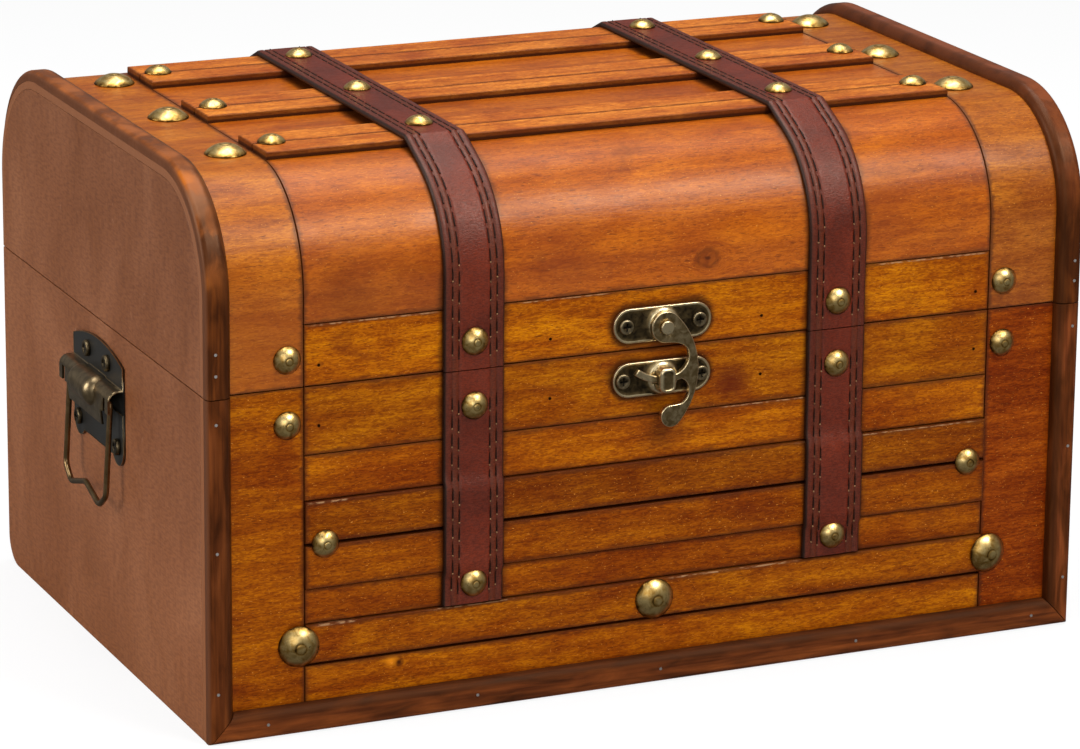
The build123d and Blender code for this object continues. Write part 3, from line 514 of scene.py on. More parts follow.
@dataclass(frozen=True)
class DarkMoulding(Grained):
    """Half-round softwood moulding, stained nearly black and rubbed back on its crest.

    The rubbing gives red-brown places along the crest and dark blotches, under a smooth varnish.
    The slope beside the boards is darker, and the lid's shoulder lighter: partly rubbed, partly a
    painted highlight where the lamp's glare falls.
    """

    grain: Grain = Grain.UPRIGHT
    crest: str = "#6c3610"
    body: str = "#522508"
    slope: str = "#2c1204"
    # Colour of the lid's lighter shoulder (worn), coming in over the heights in shoulder: partly rubbed, partly
    # a painted highlight
    worn: str = "#8a4c22"
    slope_at: float = 183.2
    side_from: float = 189.0
    shoulder: Pair = (172.0, 205.0)
    rough: Pair = (0.32, 0.46)
    patches: tuple[Patch, ...] = ()

    def paint(self, sheet: NodeSheet, place: Socket) -> Socket:
        """Adds the material's nodes.

        Args:
            sheet: The sheet that they go on.
            place: The coordinate in millimetres.

        Returns:
            The shader.
        """
        add = sheet.add
        apart = add("SeparateXYZ", place).node.outputs
        blotch = self.drawn_out(sheet, place, Spots(26.0, 6.0, 11.0, 4.0, 0.8))
        shade = add("ValToRGB", blotch, stops=((0.22, self.slope), (0.46, self.body), (0.74, self.crest)))
        streak = self.drawn_out(sheet, place, Spots(30.0, 1.2, 12.0, 3.0, 0.3))
        dull = add("ValToRGB", streak, stops=((0.36, "#a08878"), (0.6, "#ffffff")))
        shade = add("Mix:MULTIPLY", 0.6, shade, dull)
        # The lid's shoulder turns lighter: partly rubbed, partly a painted highlight where the lamp's glare
        # falls
        shoulder = add(SMOOTH, apart["Z"], *self.shoulder, 0.0, 1.0)
        soft = add("TexNoise", Vector=place, Scale=1 / 16, Detail=3.0, Distortion=0.6)
        ragged = add(SMOOTH, soft, 0.36, 0.62, 0.3, 0.9)
        shade = add("Mix", add("Math:MULTIPLY", shoulder, ragged), shade, self.worn)
        for patch in self.patches:
            far = add("VectorMath:DISTANCE", place, patch.at, output="Value")
            uneven = add("Math:MULTIPLY_ADD", blotch, patch.reach * 1.6, far)
            ends = (patch.reach * 1.1, patch.reach * 1.8, patch.strength, 0.0)
            shade = add("Mix", add(SMOOTH, uneven, *ends), shade, patch.tint)
        # The slope towards the boards starts slope_at from the chest's middle, and is darker
        axis, ends = ("X", (0.62, 0.0)) if self.grain is Grain.UPRIGHT else ("Z", (0.0, 0.62))
        off = add("Math:ABSOLUTE", apart[axis])
        inner = add(SMOOTH, off, self.slope_at - 1.6, self.slope_at + 1.2, *ends)
        shade = add("Mix", inner, shade, self.slope)
        outside = add("Math:ABSOLUTE", apart["X"])
        side = add("MapRange", outside, self.side_from, self.side_from + 0.8, 0.0, 0.9)
        return add(
            "BsdfPrincipled",
            add("Mix", side, shade, "#54301c"),
            Roughness=add("MapRange", blotch, 0.3, 0.7, *self.rough),
            Specular_IOR_Level=0.22,
            Specular_Tint="#ffcca0",
            Normal=add("Bump", Strength=0.3, Distance=0.15 * MM, Height=streak),
        )


@dataclass(frozen=True)
class BrownEndBoard(Grained):
    """Fibreboard faced with brown-stained veneer, matt, as on the ends and the inside.

    The veneer gives fine lines along its grain crossed by a faint weave, and a few scuffs.
    """

    grain: Grain = Grain.UPRIGHT
    light: str = "#885635"
    middle: str = "#814f2e"
    deep: str = "#7a4928"
    top: float = 224.0

    def paint(self, sheet: NodeSheet, place: Socket) -> Socket:
        """Adds the material's nodes.

        Args:
            sheet: The sheet that they go on.
            place: The coordinate in millimetres.

        Returns:
            The shader.
        """
        add = sheet.add
        cloud = self.drawn_out(sheet, place, Spots(70.0, 45.0, 21.0, 4.0, 0.5))
        lines = self.drawn_out(sheet, place, Spots(14.0, 0.8, 22.0, 3.0, 0.3))
        scuff = self.drawn_out(sheet, place, Spots(5.0, 2.2, 24.0, 3.0, 1.0))
        drawn = add("VectorMath:MULTIPLY", place, (0.9, 0.25, 1.1))
        weave = add("TexNoise", Vector=drawn, Scale=1.0, Detail=2.0)
        # Painted shade: the veneer darkens and greys towards its top, in the third layer below
        high = add("MapRange", add("SeparateXYZ", place, output="Z"), 0.0, self.top, 0.0, 1.0)
        shade = add("ValToRGB", cloud, stops=((0.33, self.deep), (0.5, self.middle), (0.68, self.light)))
        for pattern, stops, strength in (
            (lines, ((0.36, "#cdbfb4"), (0.6, "#ffffff")), 0.25),
            (weave, ((0.38, "#cfc5be"), (0.58, "#ffffff")), 0.6),
            (high, ((0.1, "#fff5e0"), (0.95, "#e6dccb")), 1.0),
        ):
            shade = add("Mix:MULTIPLY", strength, shade, add("ValToRGB", pattern, stops=stops))
        pale = add(SMOOTH, scuff, 0.7, 0.8, 0.0, 0.35)
        return add(
            "BsdfPrincipled",
            add("Mix", pale, shade, "#b08a70"),
            Roughness=add("MapRange", cloud, 0.3, 0.7, 0.5, 0.66),
            Specular_IOR_Level=0.3,
            Normal=add("Bump", Strength=0.3, Distance=0.08 * MM, Height=lines),
        )


@dataclass(frozen=True)
class StrapLeather(Finish):
    """Split cowhide, dyed ox-blood, embossed with a fine pebble and pressed with two pairs of channels.

    Pebbling gives a broken sheen; the strip between each pair of channels and the cut edges are
    darker and browner than the middle.
    """

    name: str = "ox-blood strap leather"
    deep: str = "#521503"
    middle: str = "#5e1a04"
    light: str = "#682007"
    border: str = "#521a0c"
    strip: str = "#522008"
    pressed: str = "#2a0f07"
    cut: str = "#1d0e08"

    def paint(self, sheet: NodeSheet, place: Socket) -> Socket:
        """Adds the material's nodes.

        Args:
            sheet: The sheet that they go on.
            place: The coordinate in millimetres.

        Returns:
            The shader.
        """
        add = sheet.add
        across = add("Math:ABSOLUTE", add("SeparateXYZ", place, output="X"))
        off = add("Math:ABSOLUTE", add("Math:SUBTRACT", across, STRAP_AT))
        cloud = add("TexNoise", Vector=place, Scale=1 / 24, Detail=3.0, Distortion=0.5)
        shade = add("ValToRGB", cloud, stops=((0.34, self.deep), (0.5, self.middle), (0.68, self.light)))
        near, far = CHANNELS
        channels = [add("Math:ABSOLUTE", add("Math:SUBTRACT", off, line)) for line in CHANNELS]
        for *ends, tint in (
            (off, near - 0.2, near + 0.5, 0.0, 0.6, self.strip),
            (off, far - 0.1, far + 0.5, 0.0, 0.6, self.border),
            *((gap, 0.1, 0.4, 0.22, 0.0, self.pressed) for gap in channels),
            (off, STRAP_HALF - 1.05, STRAP_HALF - 0.4, 0.0, 0.95, self.cut),
        ):
            shade = add("Mix", add(SMOOTH, *ends), shade, tint)
        # The embossing is a fine ripple across the strap, 0.8 mm from crest to crest
        drawn = add("VectorMath:MULTIPLY", place, (0.8, 2.2, 2.2))
        ripple = add("TexNoise", Vector=drawn, Scale=1.0, Detail=2.0, Distortion=0.8)
        crease = add("TexNoise", Vector=place, Scale=1 / 2.6, Detail=3.0)
        seen = add("ValToRGB", ripple, stops=((0.36, "#a89088"), (0.6, "#ffffff")))
        relief = add("Math:MULTIPLY_ADD", crease, 0.5, ripple)
        return add(
            "BsdfPrincipled",
            add("Mix:MULTIPLY", 0.7, shade, seen),
            Roughness=add("MapRange", crease, 0.3, 0.7, 0.36, 0.48),
            Specular_IOR_Level=0.42,
            Specular_Tint="#ffe6d6",
            Normal=add("Bump", Strength=0.75, Distance=0.2 * MM, Height=relief),
        )


@dataclass(frozen=True)
class WaxedThread(Finish):
    """Brown waxed linen thread, whose two plies give it a fine twist."""

    name: str = "brown waxed thread"
    dark: str = "#120703"
    light: str = "#2a140a"

    def paint(self, sheet: NodeSheet, place: Socket) -> Socket:
        """Adds the material's nodes.

        Args:
            sheet: The sheet that they go on.
            place: The coordinate in millimetres.

        Returns:
            The shader.
        """
        ply = sheet.add("TexNoise", Vector=place, Scale=1 / 0.6, Detail=2.0)
        shade = sheet.add("ValToRGB", ply, stops=((0.35, self.dark), (0.65, self.light)))
        bump = sheet.add("Bump", Strength=0.4, Distance=0.1 * MM, Height=ply)
        return sheet.add("BsdfPrincipled", shade, Roughness=0.5, Specular_IOR_Level=0.15, Normal=bump)


@dataclass(frozen=True)
class AgedMetal(Finish):
    """Plated steel or brass, chemically darkened and then rubbed bright where hands and cloth reach.

    The rub of each point is kept on the mesh: 0 in a recess with its dark patina, 1 on an edge with
    bright metal. Mottling and small specks break both up.
    """

    dark: str
    middle: str
    bright: str
    rub: str | None = None
    even: float = 0.4
    mottle: float = 3.0
    blotch: float = 1.5
    rough: Pair = (0.46, 0.28)
    dull_inside: float | None = None
    bare_below: float = 14.0

    def paint(self, sheet: NodeSheet, place: Socket) -> Socket:
        """Adds the material's nodes.

        Args:
            sheet: The sheet that they go on.
            place: The coordinate in millimetres.

        Returns:
            The shader.
        """
        add = sheet.add
        spots = add("TexNoise", Vector=place, Scale=1 / self.mottle, Detail=4.0, Distortion=0.6)
        rubbed = add("Attribute", attribute_name=self.rub, output="Fac") if self.rub else self.even
        worn = add("Math:MULTIPLY_ADD", add("Math:SUBTRACT", spots, 0.5), self.blotch, rubbed)
        shade = add("ValToRGB", worn, stops=((0.04, self.dark), (0.45, self.middle), (0.95, self.bright)))
        if self.dull_inside:
            # Pins in the boards keep their stain; those in the mouldings have lost it
            apart = add("SeparateXYZ", place).node.outputs
            edge = add("Math:GREATER_THAN", add("Math:ABSOLUTE", apart["X"]), self.dull_inside)
            bare = add("Math:MAXIMUM", edge, add("Math:LESS_THAN", apart["Z"], self.bare_below))
            shade = add("Mix", bare, self.dark, shade)
        specks = add("TexNoise", Vector=place, Scale=1 / 0.8, Detail=2.0)
        pit = add(SMOOTH, specks, 0.64, 0.74, 0.0, 0.6)
        return add(
            "BsdfPrincipled",
            add("Mix", pit, shade, self.dark),
            Metallic=1.0,
            Roughness=add("MapRange", worn, 0.0, 1.0, *self.rough),
            Normal=add("Bump", Strength=0.22, Distance=0.12 * MM, Height=spots),
        )


def merged_copy(node: str, flat: float | None = 0.5) -> bmesh.types.BMesh:
    """A copy of a CAD node's mesh with its loose triangles joined.

    Args:
        node: The node's name.
        flat: Faces that turn by less than this many degrees become one, or None to keep them.

    Returns:
        The copy, which the caller finishes with settle().
    """
    form = bmesh.new()
    form.from_mesh(frame["nodes"][node].data)
    bmesh.ops.remove_doubles(form, verts=form.verts, dist=0.004 * MM)
    if flat is not None:
        bmesh.ops.dissolve_limit(form, angle_limit=math.radians(flat), verts=form.verts, edges=form.edges)
    return form


def taken_up(form: bmesh.types.BMesh, part: bmesh.types.BMesh) -> None:
    """Moves one mesh into another.

    Args:
        form: The mesh that grows.
        part: The mesh that it takes up, which is freed.
    """
    mesh = bpy.data.meshes.new("part")
    part.to_mesh(mesh)
    part.free()
    form.from_mesh(mesh)
    bpy.data.meshes.remove(mesh)


def settle(
    form: bmesh.types.BMesh,
    name: str,
    nodes: Sequence[str],
    materials: Sequence[bpy.types.Material],
    sharp: float = 38.0,
    even: bool = False,
) -> None:
    """Turns a finished mesh into a piece that stands for its CAD nodes and rides on their body.

    Args:
        form: The mesh, in metres and in its place.
        name: The piece's name.
        nodes: The CAD nodes that it stands for.
        materials: Its finishes, in the order of its faces' material indices.
        sharp: Edges that turn by more degrees stay sharp.
        even: True where broad flat faces meet small roundings, so that the faces shade flat.
    """
    bmesh.ops.recalc_face_normals(form, faces=form.faces)
    mesh = bpy.data.meshes.new(name)
    form.to_mesh(mesh)
    form.free()
    mesh.shade_smooth()
    mesh.set_sharp_from_angle(angle=math.radians(sharp))
    for material in materials:
        mesh.materials.append(material)
    piece = bpy.data.objects.new(name, mesh)
    bpy.context.scene.collection.objects.link(piece)
    if even:
        piece.modifiers.new("flat faces", "WEIGHTED_NORMAL").keep_sharp = True
    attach(piece, BODY_OF[nodes[0]])
    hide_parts(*nodes)
    LOG.info("%s: %d faces", name, len(mesh.polygons))


def dress(node: str, material: bpy.types.Material) -> None:
    """Gives a CAD node that stays its finish.

    Args:
        node: The node's name.
        material: Its finish.
    """
    mesh = frame["nodes"][node].data
    mesh.materials.clear()
    mesh.materials.append(material)
    LOG.info("%s: %s", node, material.name)


@dataclass
class Boards:
    """Walls, facing boards, slats and mouldings."""

    rubbed: float = 0.28
    rubbed_from: float = 55.0
    joint_from: float = 149.65
    joint_to: float = 149.32
    joint_play: float = 0.03
    latch_x: float = 2.0
    top_pair_foot: float = 220.5
    clear_sheen: str = "#ffe6cc"

    def eased(self, node: str, material: bpy.types.Material) -> None:
        """A board whose sharp edges are rubbed round, so that its joints show.

        Args:
            node: The CAD node.
            material: Its finish.
        """
        form = merged_copy(node)
        for vert in form.verts:
            if abs(abs(vert.co.x) / MM - self.joint_from) < self.joint_play:
                vert.co.x = math.copysign(self.joint_to * MM, vert.co.x)
        least = math.radians(self.rubbed_from)
        bmesh.ops.bevel(
            form,
            geom=[e for e in form.edges if len(e.link_faces) == 2 and e.calc_face_angle() > least],
            offset=self.rubbed * MM,
            offset_type="OFFSET",
            segments=2,
            profile=0.5,
            affect="EDGES",
            material=-1,
            clamp_overlap=True,
        )
        settle(form, node + "_rubbed", [node], [material], even=True)

    def walls(self) -> None:
        """The two ends of the chest and of the lid, and the walls that show when the lid is up."""
        for number, node in enumerate(("left_end_panel", "right_end_panel", "left_lid_end", "right_lid_end")):
            finish = BrownEndBoard(f"brown stained veneer of {node}", salt=number * 1.7)
            self.eased(node, finish.build())
        plain, back = (
            BrownEndBoard(name, Grain.ACROSS, salt, *tints).build()
            for name, salt, *tints in (
                ("plain stained fibreboard", 9.0, "#754528", "#6b3c22", "#5e341c"),
                ("brown stained veneer of the back", 5.0, "#825032", "#7a492c", "#704126"),
            )
        )
        for node in ("front_panel", "bottom_board", "lid_shell"):
            dress(node, plain)
        self.eased("back_panel", back)

    def slats(self) -> None:
        """The seven slats of the front, the lid's front slat and the six on top."""
        marks = (
            {
                "tone": "#a76500",
                "shadow_halos": (ShadowHalo(self.latch_x, 126.8),),
                "patches": (
                    Patch((33.0, BOARD_Y, 121.0), 11.0, 0.75, "#4a1408"),
                    Patch((2.0, BOARD_Y, 108.0), 15.0, 0.45),
                    Patch((-79.0, BOARD_Y, 118.0), 16.0, 0.4),
                ),
            },
            {
                "tone": "#ab6300",
                "knots": (Knot(103.0, 100.5, 2.6, 0.5),),
                "fillers": (Filler(110.9, 28.0, 70.0, 0.3),),
                "patches": (
                    Patch((3.0, BOARD_Y, 104.0), 16.0, 0.5),
                    Patch((-75.0, BOARD_Y, 106.0), 15.0, 0.45),
                ),
            },
            {"tone": "#935300", "fillers": (Filler(92.3, -148.5, -131.0), Filler(92.4, 60.0, 148.0, 0.3))},
            {"tone": "#995400"},
            {"tone": "#985200", "patches": (Patch((-80.0, BOARD_Y, 48.0), 16.0, 0.5),)},
            {
                "tone": "#a35f00",
                "fillers": (
                    Filler(42.4, -146.0, -128.0, 0.6),
                    Filler(42.5, -100.0, -60.0, 0.35),
                    Filler(42.4, 5.0, 66.0, 0.45),
                ),
            },
            {
                "tone": "#b26b00",
                "knots": (Knot(-110.0, 22.4, 3.2, 0.95),),
                "patches": (
                    Patch((-113.0, BOARD_Y, 23.6), 4.2, 0.75, "#d07c0e"),
                    Patch((-109.6, BOARD_Y, 22.2), 1.9, 0.95, "#341202"),
                ),
            },
        )
        for number, own in enumerate(marks, start=1):
            node = f"front_slat_{number}"
            box = EdgeBox.of(node)
            finish = StainedPine(f"stained pine of {node}", salt=number * 2.3, edges=box, edge_reach=2.3, **own)
            dress(node, finish.build())
        lid_slat = StainedPine(
            "golden stained pine of the lid slat",
            tone="#b87000",
            salt=31.0,
            edges=EdgeBox.of("lid_front_slat"),
            edge_reach=1.7,
            knots=(Knot(-142.1, 147.5, 1.3, 0.7),),
            shadow_halos=(ShadowHalo(self.latch_x, 149.0),),
            patches=(Patch((6.0, BOARD_Y, 141.0), 12.0, 0.5), Patch((-79.0, BOARD_Y, 143.0), 15.0, 0.4)),
            fillers=(
                Filler(163.1, -149.0, -92.0, 0.35),
                Filler(163.1, -60.0, -20.0, 0.25),
                Filler(163.0, 96.0, 149.0, 0.4),
            ),
        )
        dress("lid_front_slat", lid_slat.build())
        for number in range(1, 7):
            node = f"top_slat_{number}"
            finish = StainedPine(
                f"stained pine of {node}",
                tone="#d4832c",
                salt=50.0 + number * 1.9,
                gloss=0.25,
                painted_shade_below=self.top_pair_foot,
                edges=EdgeBox.of(node, "xy"),
                edge_reach=1.1,
            )
            dress(node, finish.build())

    def facing(self) -> None:
        """The corner boards, and the bent boards of the lid."""
        for side, tone in (("left", "#a76100"), ("right", "#934604")):
            node = f"{side}_front_corner_board"
            finish = StainedPine(
                f"stained pine of {node}",
                tone=tone,
                salt=70.0 + len(side),
                edges=EdgeBox.of(node, low_z=-20.0),
                edge_reach=1.6,
                shadow_beside_straps=False,
            )
            self.eased(node, finish.build())
        for side, tone in (("left", "#b4680c"), ("right", "#a76112")):
            node = f"{side}_lid_band"
            finish = StainedPine(
                f"bent stained ply of {node}",
                tone=tone,
                salt=80.0 + len(side),
                edges=EdgeBox.of(node, high_z=400.0),
                edge_reach=1.8,
                gloss=0.3,
                sheen=self.clear_sheen,
                rough=(0.32, 0.46),
                shadow_beside_straps=False,
                patches=(Patch((-166.0, -121.0, 156.0), 38.0, 0.55, "#7a3806"),),
                contrast=0.75,
            )
            self.eased(node, finish.build())
        skin = StainedPine(
            "bent stained ply of the lid",
            tone="#b25f06",
            salt=95.0,
            edges=EdgeBox.of("lid_skin", low_z=163.9, high_z=400.0),
            edge_reach=2.0,
            gloss=0.32,
            sheen=self.clear_sheen,
            rough=(0.3, 0.42),
            knots=(Knot(21.7, 173.1, 7.0, 0.95),),
            patches=(
                Patch((-40.0, -119.0, 176.0), 26.0, 0.35, "#6a2c12"),
                Patch((100.0, -117.0, 185.0), 24.0, 0.3, "#6a2c12"),
                Patch((-130.0, -120.0, 172.0), 34.0, 0.6, "#5a2204"),
                Patch((-100.0, -120.0, 168.0), 26.0, 0.5, "#602404"),
            ),
            contrast=0.7,
        )
        self.eased("lid_skin", skin.build())

    def mouldings(self) -> None:
        """The half-round mouldings of the chest and the lid."""
        out = -188.0
        # Shoulder places of the left lid moulding: an orange rubbed place that is partly a painted highlight, a
        # grey painted reflection, a dark place and a red-brown rubbed place
        shoulder_rubs_and_glare = (
            Patch((out, -96.0, 219.0), 7.0, 0.7, "#a4560f"),
            Patch((out, -107.0, 211.0), 9.0, 0.6, "#664632"),
            Patch((out, -118.0, 196.0), 12.0, 0.85, "#2c1206"),
            Patch((out, -121.0, 184.0), 5.0, 0.7, "#8a4a14"),
        )
        # Each lid moulding's shoulder tint (worn) is partly rubbed and partly a painted highlight
        for number, (side, crest, worn, patches) in enumerate(
            (("left", "#663210", "#8a4c22", shoulder_rubs_and_glare), ("right", "#783a16", "#6e361a", ()))
        ):
            chest = DarkMoulding(f"dark stained moulding of the chest's {side}", salt=number * 3.0, crest=crest)
            self.eased(f"{side}_front_moulding", chest.build())
            lid = DarkMoulding(
                f"dark stained moulding of the lid's {side}",
                salt=8.0 + number * 3.0,
                crest="#5e2c06",
                body="#3e1a04",
                worn=worn,
                patches=patches,
            )
            self.eased(f"{side}_lid_moulding", lid.build())
        foot = DarkMoulding(
            "dark stained moulding of the foot",
            Grain.ACROSS,
            20.0,
            crest="#783c14",
            body="#5c2a0c",
            slope_at=8.4,
            rough=(0.55, 0.68),
        )
        self.eased("bottom_front_moulding", foot.build())

    def build(self) -> None:
        """Makes all the woodwork."""
        self.walls()
        self.slats()
        self.facing()
        self.mouldings()


@dataclass(frozen=True)
class Station:
    """A place along a strap's underside: back-to-front, height and the way that the strap runs there."""

    y: float
    z: float
    turn: float

    def matrix(self, x: float) -> Matrix:
        """Carries a section drawn at the origin, X across, Y along and Z outwards, to this place.

        Args:
            x: How far right of the chest's middle the section goes.

        Returns:
            The transform, in metres.
        """
        return Matrix.Translation(Vector((x, self.y, self.z)) * MM) @ Matrix.Rotation(self.turn, 4, "X")


@dataclass
class StrapRoute:
    """The underside of a strap as it is laid: straight runs and bends over the boards."""

    y: float
    z: float
    turn: float = math.pi / 2
    step: float = 5.0
    bend_step: float = 3.5
    stations: list[Station] = field(default_factory=list)

    def __post_init__(self) -> None:
        """Sets the first station."""
        self.stations.append(Station(self.y, self.z, self.turn))

    def to(self, y: float, z: float) -> None:
        """Lays the strap straight to a point, without turning its thickness.

        Args:
            y: The point's place from the front.
            z: Its height.
        """
        count = max(1, round(math.hypot(y - self.y, z - self.z) / self.step))
        start_y, start_z = self.y, self.z
        for number in range(1, count + 1):
            share = number / count
            self.y, self.z = start_y + (y - start_y) * share, start_z + (z - start_z) * share
            self.stations.append(Station(self.y, self.z, self.turn))

    def run(self, length: float) -> None:
        """Lays the strap straight on.

        Args:
            length: How far.
        """
        self.to(self.y + math.cos(self.turn) * length, self.z + math.sin(self.turn) * length)

    def bend(self, radius: float, angle: float) -> None:
        """Bends the strap down over a rounding of the boards.

        Args:
            radius: The rounding under the strap.
            angle: How far it turns, in radians.
        """
        count = max(2, round(math.degrees(angle) / self.bend_step))
        for _ in range(count):
            chord = 2 * radius * math.sin(angle / count / 2)
            self.turn -= angle / count / 2
            self.y += math.cos(self.turn) * chord
            self.z += math.sin(self.turn) * chord
            self.turn -= angle / count / 2
            self.stations.append(Station(self.y, self.z, self.turn))

    def gaps(self) -> list[float]:
        """Measures the strap.

        Returns:
            How far each station is from the one before it.
        """
        steps = zip(self.stations, self.stations[1:])
        return [math.hypot(far.y - near.y, far.z - near.z) for near, far in steps]

    def at(self, length: float) -> Station:
        """The station at a distance along the strap.

        Args:
            length: The distance from its first end, less than the strap's own length.

        Returns:
            The station.
        """
        for near, far, gap in zip(self.stations, self.stations[1:], self.gaps()):
            if length <= gap and gap > 0:
                share = length / gap
                ends = ((near.y, far.y), (near.z, far.z), (near.turn, far.turn))
                return Station(*(start + (end - start) * share for start, end in ends))
            length -= gap
        return self.stations[-1]


@dataclass
class Straps:
    """Leather straps with pressed channels and saddle stitching."""

    thickness: float = 2.2
    channel_depth: float = 0.3
    stitch_pitch: float = 7.4
    stitch_gap: float = 1.9
    stitch_inset: float = 5.0
    stagger: float = 1.6
    thread_radius: float = 0.5
    dot_radius: float = 0.36
    # Height under which, and noise level over which, dots at the stitch ends take the pale thread as a painted
    # glint
    glint_below: float = 185.0
    glint_from: float = -0.45
    waviness: float = 0.22
    back_y: float = 125.0
    chest_top: float = 138.8
    lid_bottom: float = 139.2
    foot: float = 43.53
    step_low: float = 57.46
    step_high: float = 93.0
    ramp: float = 2.0
    pair_edge: float = 81.0
    front_shoulder: Point = (-77.0, 176.0, 43.5)
    back_shoulder: Point = (77.0, 171.5, 48.0)

    def section(self) -> list[Pair]:
        """Draws half of the strap's section.

        Returns:
            Its corners from the middle out: place across and height.
        """
        top, deep, half = self.thickness, self.thickness - self.channel_depth, STRAP_HALF
        points = [(0.0, top), (3.0, top), (5.2, top - 0.01)]
        channel = ((-0.5, top - 0.05), (-0.22, deep), (0.22, deep), (0.5, top - 0.05))
        points += [(line + off, high) for line in CHANNELS for off, high in channel]
        points += [(half - 1.6, top - 0.03), (half - 0.7, top - 0.18), (half - 0.2, top - 0.6)]
        return points + [(half, top - 1.15), (half, 0.35), (half - 0.35, 0.0)]

    def swept(self, route: StrapRoute, x: float) -> bmesh.types.BMesh:
        """Draws the strap's section along a route.

        Args:
            route: The strap's underside.
            x: The strap's centre line.

        Returns:
            The closed strap.
        """
        form = bmesh.new()
        half = self.section()
        loop = [(-across, high) for across, high in reversed(half[1:])] + half
        place = route.stations[0].matrix(x)
        corners = [form.verts.new(place @ (Vector((across, 0.0, high)) * MM)) for across, high in loop]
        edges = [form.edges.new(pair) for pair in zip(corners, corners[1:] + corners[:1])]
        first = list(edges)
        for near, far in zip(route.stations, route.stations[1:]):
            grown = bmesh.ops.extrude_edge_only(form, edges=edges)["geom"]
            verts = {g for g in grown if isinstance(g, bmesh.types.BMVert)}
            edges = [g for g in grown if isinstance(g, bmesh.types.BMEdge) and verts.issuperset(g.verts)]
            bmesh.ops.transform(form, matrix=far.matrix(x) @ near.matrix(x).inverted(), verts=list(verts))
        for rim in (first, edges):
            bmesh.ops.contextual_create(form, geom=rim)
        bmesh.ops.remove_doubles(form, verts=form.verts, dist=0.01 * MM)
        bmesh.ops.recalc_face_normals(form, faces=form.faces)
        # The cut edges waver a little, the more the further they are from the centre line
        for vert in form.verts:
            soft = noise.noise(vert.co * 55.0) * self.waviness * MM
            vert.co.x += soft * (x * MM - vert.co.x) / (STRAP_HALF * MM)
        return form

    def bead(self, finish: int, rings: int, thin: float, taper: float) -> bpy.types.Mesh:
        """One stitch or dot of radius 1 that lies along Y, to be copied to its places.

        Args:
            finish: Its material index.
            rings: How many rings of faces it has.
            thin: Its width in the middle.
            taper: How much of that width it loses towards its far end.

        Returns:
            The mesh.
        """
        made = bmesh.new()
        bmesh.ops.create_uvsphere(made, u_segments=8, v_segments=rings, radius=1.0, matrix=FORWARD)
        for vert in made.verts:
            vert.co.x *= thin - taper * vert.co.y
        for face in made.faces:
            face.material_index = finish
        mesh = bpy.data.meshes.new("stitch")
        made.to_mesh(mesh)
        made.free()
        return mesh

    def stitch(self, form: bmesh.types.BMesh, route: StrapRoute, x: float) -> None:
        """Adds the stitches in the four channels, as faces of the second and third materials.

        Args:
            form: The strap.
            route: Its underside.
            x: Its centre line.
        """
        reach = (self.stitch_pitch - self.stitch_gap) / 2
        last = sum(route.gaps()) - self.stitch_inset - reach
        thread = self.bead(1, 6, 0.65, 0.45)
        dots = {finish: self.bead(finish, 4, 1.0, 0.0) for finish in (1, 2)}
        across, along, dot = (size * MM for size in (self.thread_radius, reach, self.dot_radius))
        shape = Matrix.Diagonal((across, along, across * 0.8, 1.0))
        end = Matrix.Translation(Vector((0.0, -reach - 0.15, 0.06)) * MM)
        dive = end @ Matrix.Diagonal((dot, dot, dot, 1.0))
        for row, line in enumerate([side * channel for side in SIDES for channel in CHANNELS]):
            bed = Matrix.Translation(Vector((line, 0.0, self.thickness - self.channel_depth + 0.08)) * MM)
            at = self.stitch_inset + reach + (row % 2) * self.stagger
            while at < last:
                station = route.at(at)
                base = station.matrix(x) @ bed
                # Low on the straps some dots at the stitch ends take the pale thread: a painted glint where the
                # thread dives
                bare = noise.noise(Vector((at * 0.9, line, x))) > self.glint_from
                pale = 2 if station.z < self.glint_below and bare else 1
                for bead, place in ((thread, base @ shape), (dots[pale], base @ dive)):
                    made = bead.copy()
                    made.transform(place)
                    form.from_mesh(made)
                    bpy.data.meshes.remove(made)
                at += self.stitch_pitch
        for bead in (thread, *dots.values()):
            bpy.data.meshes.remove(bead)

    def lift(self, shoulder: Point) -> Pair:
        """Measures the strap's straight run between a rounded shoulder and the raised slats' edge.

        Args:
            shoulder: The middle and the radius of the rounding.

        Returns:
            How steep the run is, in radians, and how long.
        """
        y, z, radius = shoulder
        out, up = self.pair_edge - abs(y), PAIR_TOP - z
        reach = math.hypot(out, up)
        return math.atan2(out, up) + math.acos(radius / reach), math.sqrt(reach * reach - radius * radius)

    def over_lid(self) -> StrapRoute:
        """Lays the strap of the lid.

        Returns:
            The route from the seam up the front, over the slats and down the back.
        """
        route = StrapRoute(BOARD_Y, self.lid_bottom)
        _, z, radius = self.front_shoulder
        angle, length = self.lift(self.front_shoulder)
        route.run(z - self.lid_bottom)
        route.bend(radius, math.pi / 2 - angle)
        route.run(length)
        route.bend(0.0, route.turn)
        route.run(self.pair_edge * 2)
        angle, length = self.lift(self.back_shoulder)
        route.bend(0.0, angle)
        route.run(length)
        route.bend(self.back_shoulder[2], math.pi / 2 - angle)
        route.run(route.z - self.lid_bottom)
        return route

    def down_front(self) -> StrapRoute:
        """Lays the strap of the chest's front.

        Returns:
            The route from the strap's foot over the raised slats to the seam.
        """
        route = StrapRoute(BOARD_Y, self.foot)
        for y, z in (
            (BOARD_Y, self.step_low - self.ramp),
            (RAISED_Y, self.step_low),
            (RAISED_Y, self.step_high),
            (BOARD_Y, self.step_high + self.ramp),
            (BOARD_Y, self.chest_top),
        ):
            route.to(y, z)
        return route

    def down_back(self) -> StrapRoute:
        """Lays the strap of the chest's back.

        Returns:
            The route from the seam to the strap's foot.
        """
        route = StrapRoute(self.back_y, self.chest_top, -math.pi / 2)
        route.to(self.back_y, self.foot)
        return route

    def build(self) -> None:
        """Makes the six straps."""
